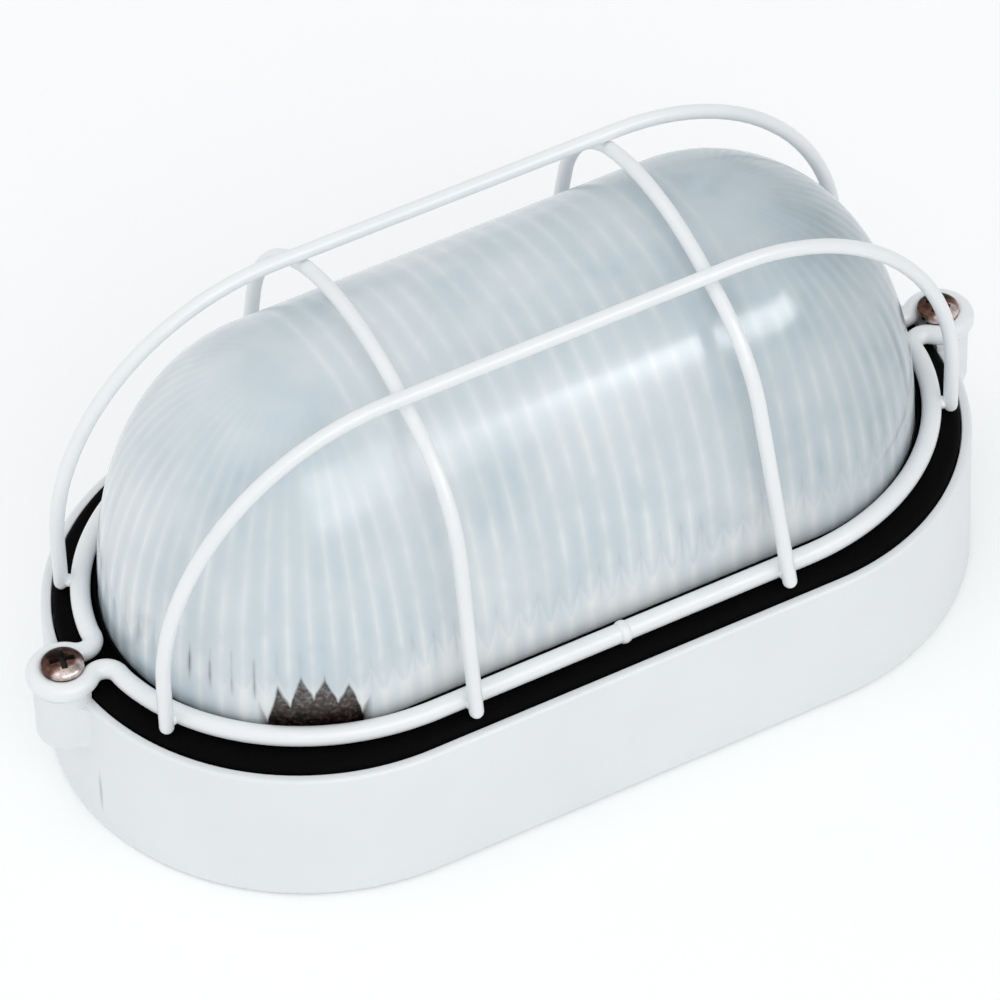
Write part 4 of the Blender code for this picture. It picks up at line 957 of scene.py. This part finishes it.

# %% [markdown]
# The cover screws are pan heads with a cross recess. The head is a turned profile, and the cross is cut
# with two blades that narrow towards their bottom, like the tip of a screwdriver. The faces that the cut
# leaves get the painted recess shade. Screws stop wherever they bite, so the two crosses stand at different
# turns.

# %% Cover screws
SCREW_SEAT = 0.0381
HEAD_RADIUS = 0.0043
HEAD_HEIGHT = 0.0017
CROWN_START = 0.0005
SHANK_RADIUS, SHANK_END, SHANK_CHAMFER = 0.002, 0.0134, 0.0006
SKIRT_INNER, SKIRT_DROP, SKIRT_ROUND = 0.0034, 0.0004, 0.0002
CROSS_SPAN, CROSS_WIDTH, CROSS_DEPTH = 0.0062, 0.0014, 0.0015
BLADE_TAPER = (0.7, 0.8, 1)
CUT_BELOW = 0.00025  # a face this far under the crown is one of the cross's


def cross_blade(turn):
    """One blade of the cross, narrower at its bottom."""
    bm = bmesh.new()
    bmesh.ops.create_cube(bm, size=1)
    bmesh.ops.scale(bm, vec=(CROSS_SPAN, CROSS_WIDTH, 2 * CROSS_DEPTH), verts=bm.verts[:])
    bmesh.ops.scale(bm, vec=BLADE_TAPER, verts=[vert for vert in bm.verts if vert.co.z < 0])
    bmesh.ops.rotate(bm, verts=bm.verts[:], matrix=Matrix.Rotation(turn, 3, "Z"))
    bmesh.ops.translate(bm, verts=bm.verts[:], vec=(0, 0, HEAD_HEIGHT))
    return mesh_of(bm, "blade")


def crown_height(out):
    """The head's height over its seat at this distance from its middle."""
    return CROWN_START + (HEAD_HEIGHT - CROWN_START) * math.sqrt(max(1 - (out / HEAD_RADIUS) ** 2, 0))


def cover_screw(turn):
    """A pan-head screw with its seat at its own zero."""
    shank = [(0, -SHANK_END), (SHANK_RADIUS - SHANK_CHAMFER, -SHANK_END),
             (SHANK_RADIUS, SHANK_CHAMFER - SHANK_END), (SHANK_RADIUS, 0)]
    skirt = [(SKIRT_INNER, 0), (HEAD_RADIUS - SKIRT_ROUND, -SKIRT_DROP), (HEAD_RADIUS, -SKIRT_ROUND)]
    crown = [(HEAD_RADIUS * x, CROWN_START + (HEAD_HEIGHT - CROWN_START) * z)
             for x, z in arc((0, 0), 1, 0, 72, 8)]
    head = mesh_of(spun([*shank, *skirt, *crown, (0, HEAD_HEIGHT)], 48), "cover_screw")
    return cut_or_join(head, "DIFFERENCE", [cross_blade(turn), cross_blade(turn + math.pi / 2)])


for name, side, turn in (("left", -1, 77), ("right", 1, 40)):
    mesh = cover_screw(math.radians(turn))
    mesh.transform(Matrix.Translation((side * BOSS_X, 0, SCREW_SEAT)))
    mesh.shade_smooth()
    mesh.set_sharp_from_angle(angle=math.radians(35))
    show(f"cover_screw_{name}_head", mesh, bronze, "bronzed_steel", f"cover_screw_{name}")
    mesh.materials.append(recess_shade)
    # The cross's faces take the second material, the painted recess shade
    for polygon in mesh.polygons:
        out = math.hypot(polygon.center.x - side * BOSS_X, polygon.center.y)
        height = polygon.center.z - SCREW_SEAT
        if out < CROSS_SPAN / 2 and 0 < height < crown_height(out) - CUT_BELOW:
            polygon.material_index = 1
    print("cover screw", name, len(mesh.polygons), "faces")

# %% [markdown]
# The bulb is the one inner piece large enough to show its facets through the glass, so it is turned
# again with a smoother globe. Its cap's thread is a row of rounded waves, each a turn of the thread.

# %% Bulb
AXIS_HEIGHT = 0.040
BULB_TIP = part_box("bulb")[0][0]
BULB_LENGTH, BULB_RADIUS = 0.105, 0.030
BULB_SHOULDER = 0.017  # how far below the globe's middle the neck joins it
BULB_NECK_RADIUS, BULB_NECK_START = 0.015, 0.026
CAP_RADIUS, CAP_SHOULDER, CAP_LENGTH = 0.0132, 0.006, 0.024
CAP_INSULATOR_RADIUS, CAP_INSULATOR = 0.0106, 0.0048
CAP_BUTTON_RADIUS, CAP_BUTTON = 0.0048, 0.0019
THREAD_TURNS, THREAD_DEPTH = 6, 0.0008
TURN_POINTS = 8

joint = math.degrees(math.asin(BULB_SHOULDER / BULB_RADIUS))
joint_radius = math.sqrt(BULB_RADIUS**2 - BULB_SHOULDER**2)
neck_rise = BULB_LENGTH - BULB_RADIUS - BULB_SHOULDER - BULB_NECK_START
globe = arc((0, BULB_LENGTH - BULB_RADIUS), BULB_RADIUS, -joint, 90 + joint, 30)
neck = [(BULB_NECK_RADIUS + (joint_radius - BULB_NECK_RADIUS) * (k / 12) ** 2,
         BULB_NECK_START + neck_rise * k / 12) for k in range(12)]
points = THREAD_TURNS * TURN_POINTS
thread = [(CAP_RADIUS - THREAD_DEPTH / 2 * (1 - math.cos(k * math.tau / TURN_POINTS)),
           CAP_SHOULDER + (CAP_LENGTH - CAP_SHOULDER) * k / points) for k in range(points + 1)]
cap_end = [(0, 0), (CAP_BUTTON_RADIUS, 0), (CAP_BUTTON_RADIUS, CAP_BUTTON),
           (CAP_INSULATOR_RADIUS, CAP_INSULATOR)]
profile = [*cap_end, *thread, *neck, *globe[:-1], (0, BULB_LENGTH)]
bulb_mesh = mesh_of(spun(profile, 64), "bulb")
bulb_mesh.transform(Matrix.Translation((BULB_TIP, 0, AXIS_HEIGHT)) @ Matrix.Rotation(math.pi / 2, 4, "Y"))
show("bulb_globe", bulb_mesh, opal, "frosted_bulb", "bulb")
print("bulb tip at", round(BULB_TIP * 1000, 2), "mm")

# %% [markdown]
# A white paper floor under the lamp keeps its soft shadow. Paper in a photo tent is lit from all round, so
# it glows a little to the camera, in reflections and through the glass, but adds no light to the lamp.

# %% Floor
FLOOR_BELOW = 0.0002  # clear of the lamp's flat back, so that the two faces never fight
FLOOR_GLOW = 0.12

bm = bmesh.new()
bmesh.ops.create_grid(bm, x_segments=8, y_segments=8, size=4)
bmesh.ops.translate(bm, verts=bm.verts[:], vec=(0, 0, -FLOOR_BELOW))
floor_mesh = mesh_of(bm, "floor")
in_scene("floor", floor_mesh)

# White paper: matt, with clouds of half a metre that are barely there
sweep, tree, shader = finish("white_paper_sweep", Roughness=0.9, Specular_IOR_Level=0.1)
mottle(tree, shader, "#F6F7F7", "#F8F9F9", 500)
rays = add(tree, "LightPath").outputs
seen = rays["Is Camera Ray"]
for kind in ("Is Glossy Ray", "Is Transmission Ray"):
    seen = add(tree, "Math", (seen, rays[kind]), operation="MAXIMUM")
glow = add(tree, "Math", (seen, FLOOR_GLOW), operation="MULTIPLY")
feed(tree, shader, {"Emission Color": to_linear("#FFFFFF"), "Emission Strength": glow})
floor_mesh.materials.append(sweep)
print("floor", len(floor_mesh.polygons), "faces")

# %% [markdown]
# The light is that of a white tent: a sky that is a little darker behind the right end, a broad soft light
# from the front left and a weaker one overhead. Three reflector cards show only in glossy surfaces. The left
# one lays a broad sheen on the near side, the long one draws the soft streak along the glass's near
# shoulder, and the window card draws the bright rectangle on it.

# %% Light
DARK_SIDE = Vector((0.6, 0.4, -0.5)).normalized()
world = bpy.data.worlds.new("studio")
bpy.context.scene.world = world
world.use_nodes = True
tree = world.node_tree
direction = add(tree, "TexCoord").outputs["Generated"]
toward = add(tree, "VectorMath", (direction, DARK_SIDE), operation="DOT_PRODUCT")
level = add(tree, "MapRange", (toward, -1, 1, 0.94, 0.60))
feed(tree, tree.nodes["Background"], {"Color": to_linear("#F9FAFB"), "Strength": level})


def softbox(name, place, aim, size, power, glossy_only=False):
    """A rectangular area light at a place, aimed at a point."""
    data = bpy.data.lights.new(name, "AREA")
    data.shape = "RECTANGLE"
    data.size, data.size_y = size
    data.energy = power
    light = in_scene(name, data)
    light.location = place
    light.rotation_euler = (Vector(aim) - Vector(place)).to_track_quat("-Z", "Y").to_euler()
    light.visible_diffuse = not glossy_only


softbox("front", (-0.2, -1.55, 1.25), (0, 0, 0.04), (1.2, 1.2), 4.8)
softbox("overhead", (-0.5, 0.35, 1.7), (0, 0, 0.04), (1.4, 1.4), 2.6)
softbox("left_card", (0.02, -1.12, 1.05), (-0.05, -0.02, 0.08), (1.0, 0.85), 6.5, glossy_only=True)
softbox("long_card", (0.62, -1.05, 1.15), (0, 0, 0.05), (0.5, 0.12), 0.25, glossy_only=True)
softbox("window_card", (0.403, -0.553, 0.548), (0.035, -0.025, 0.084), (0.24, 0.19), 1.2, glossy_only=True)
bpy.context.scene.view_settings.view_transform = "Standard"
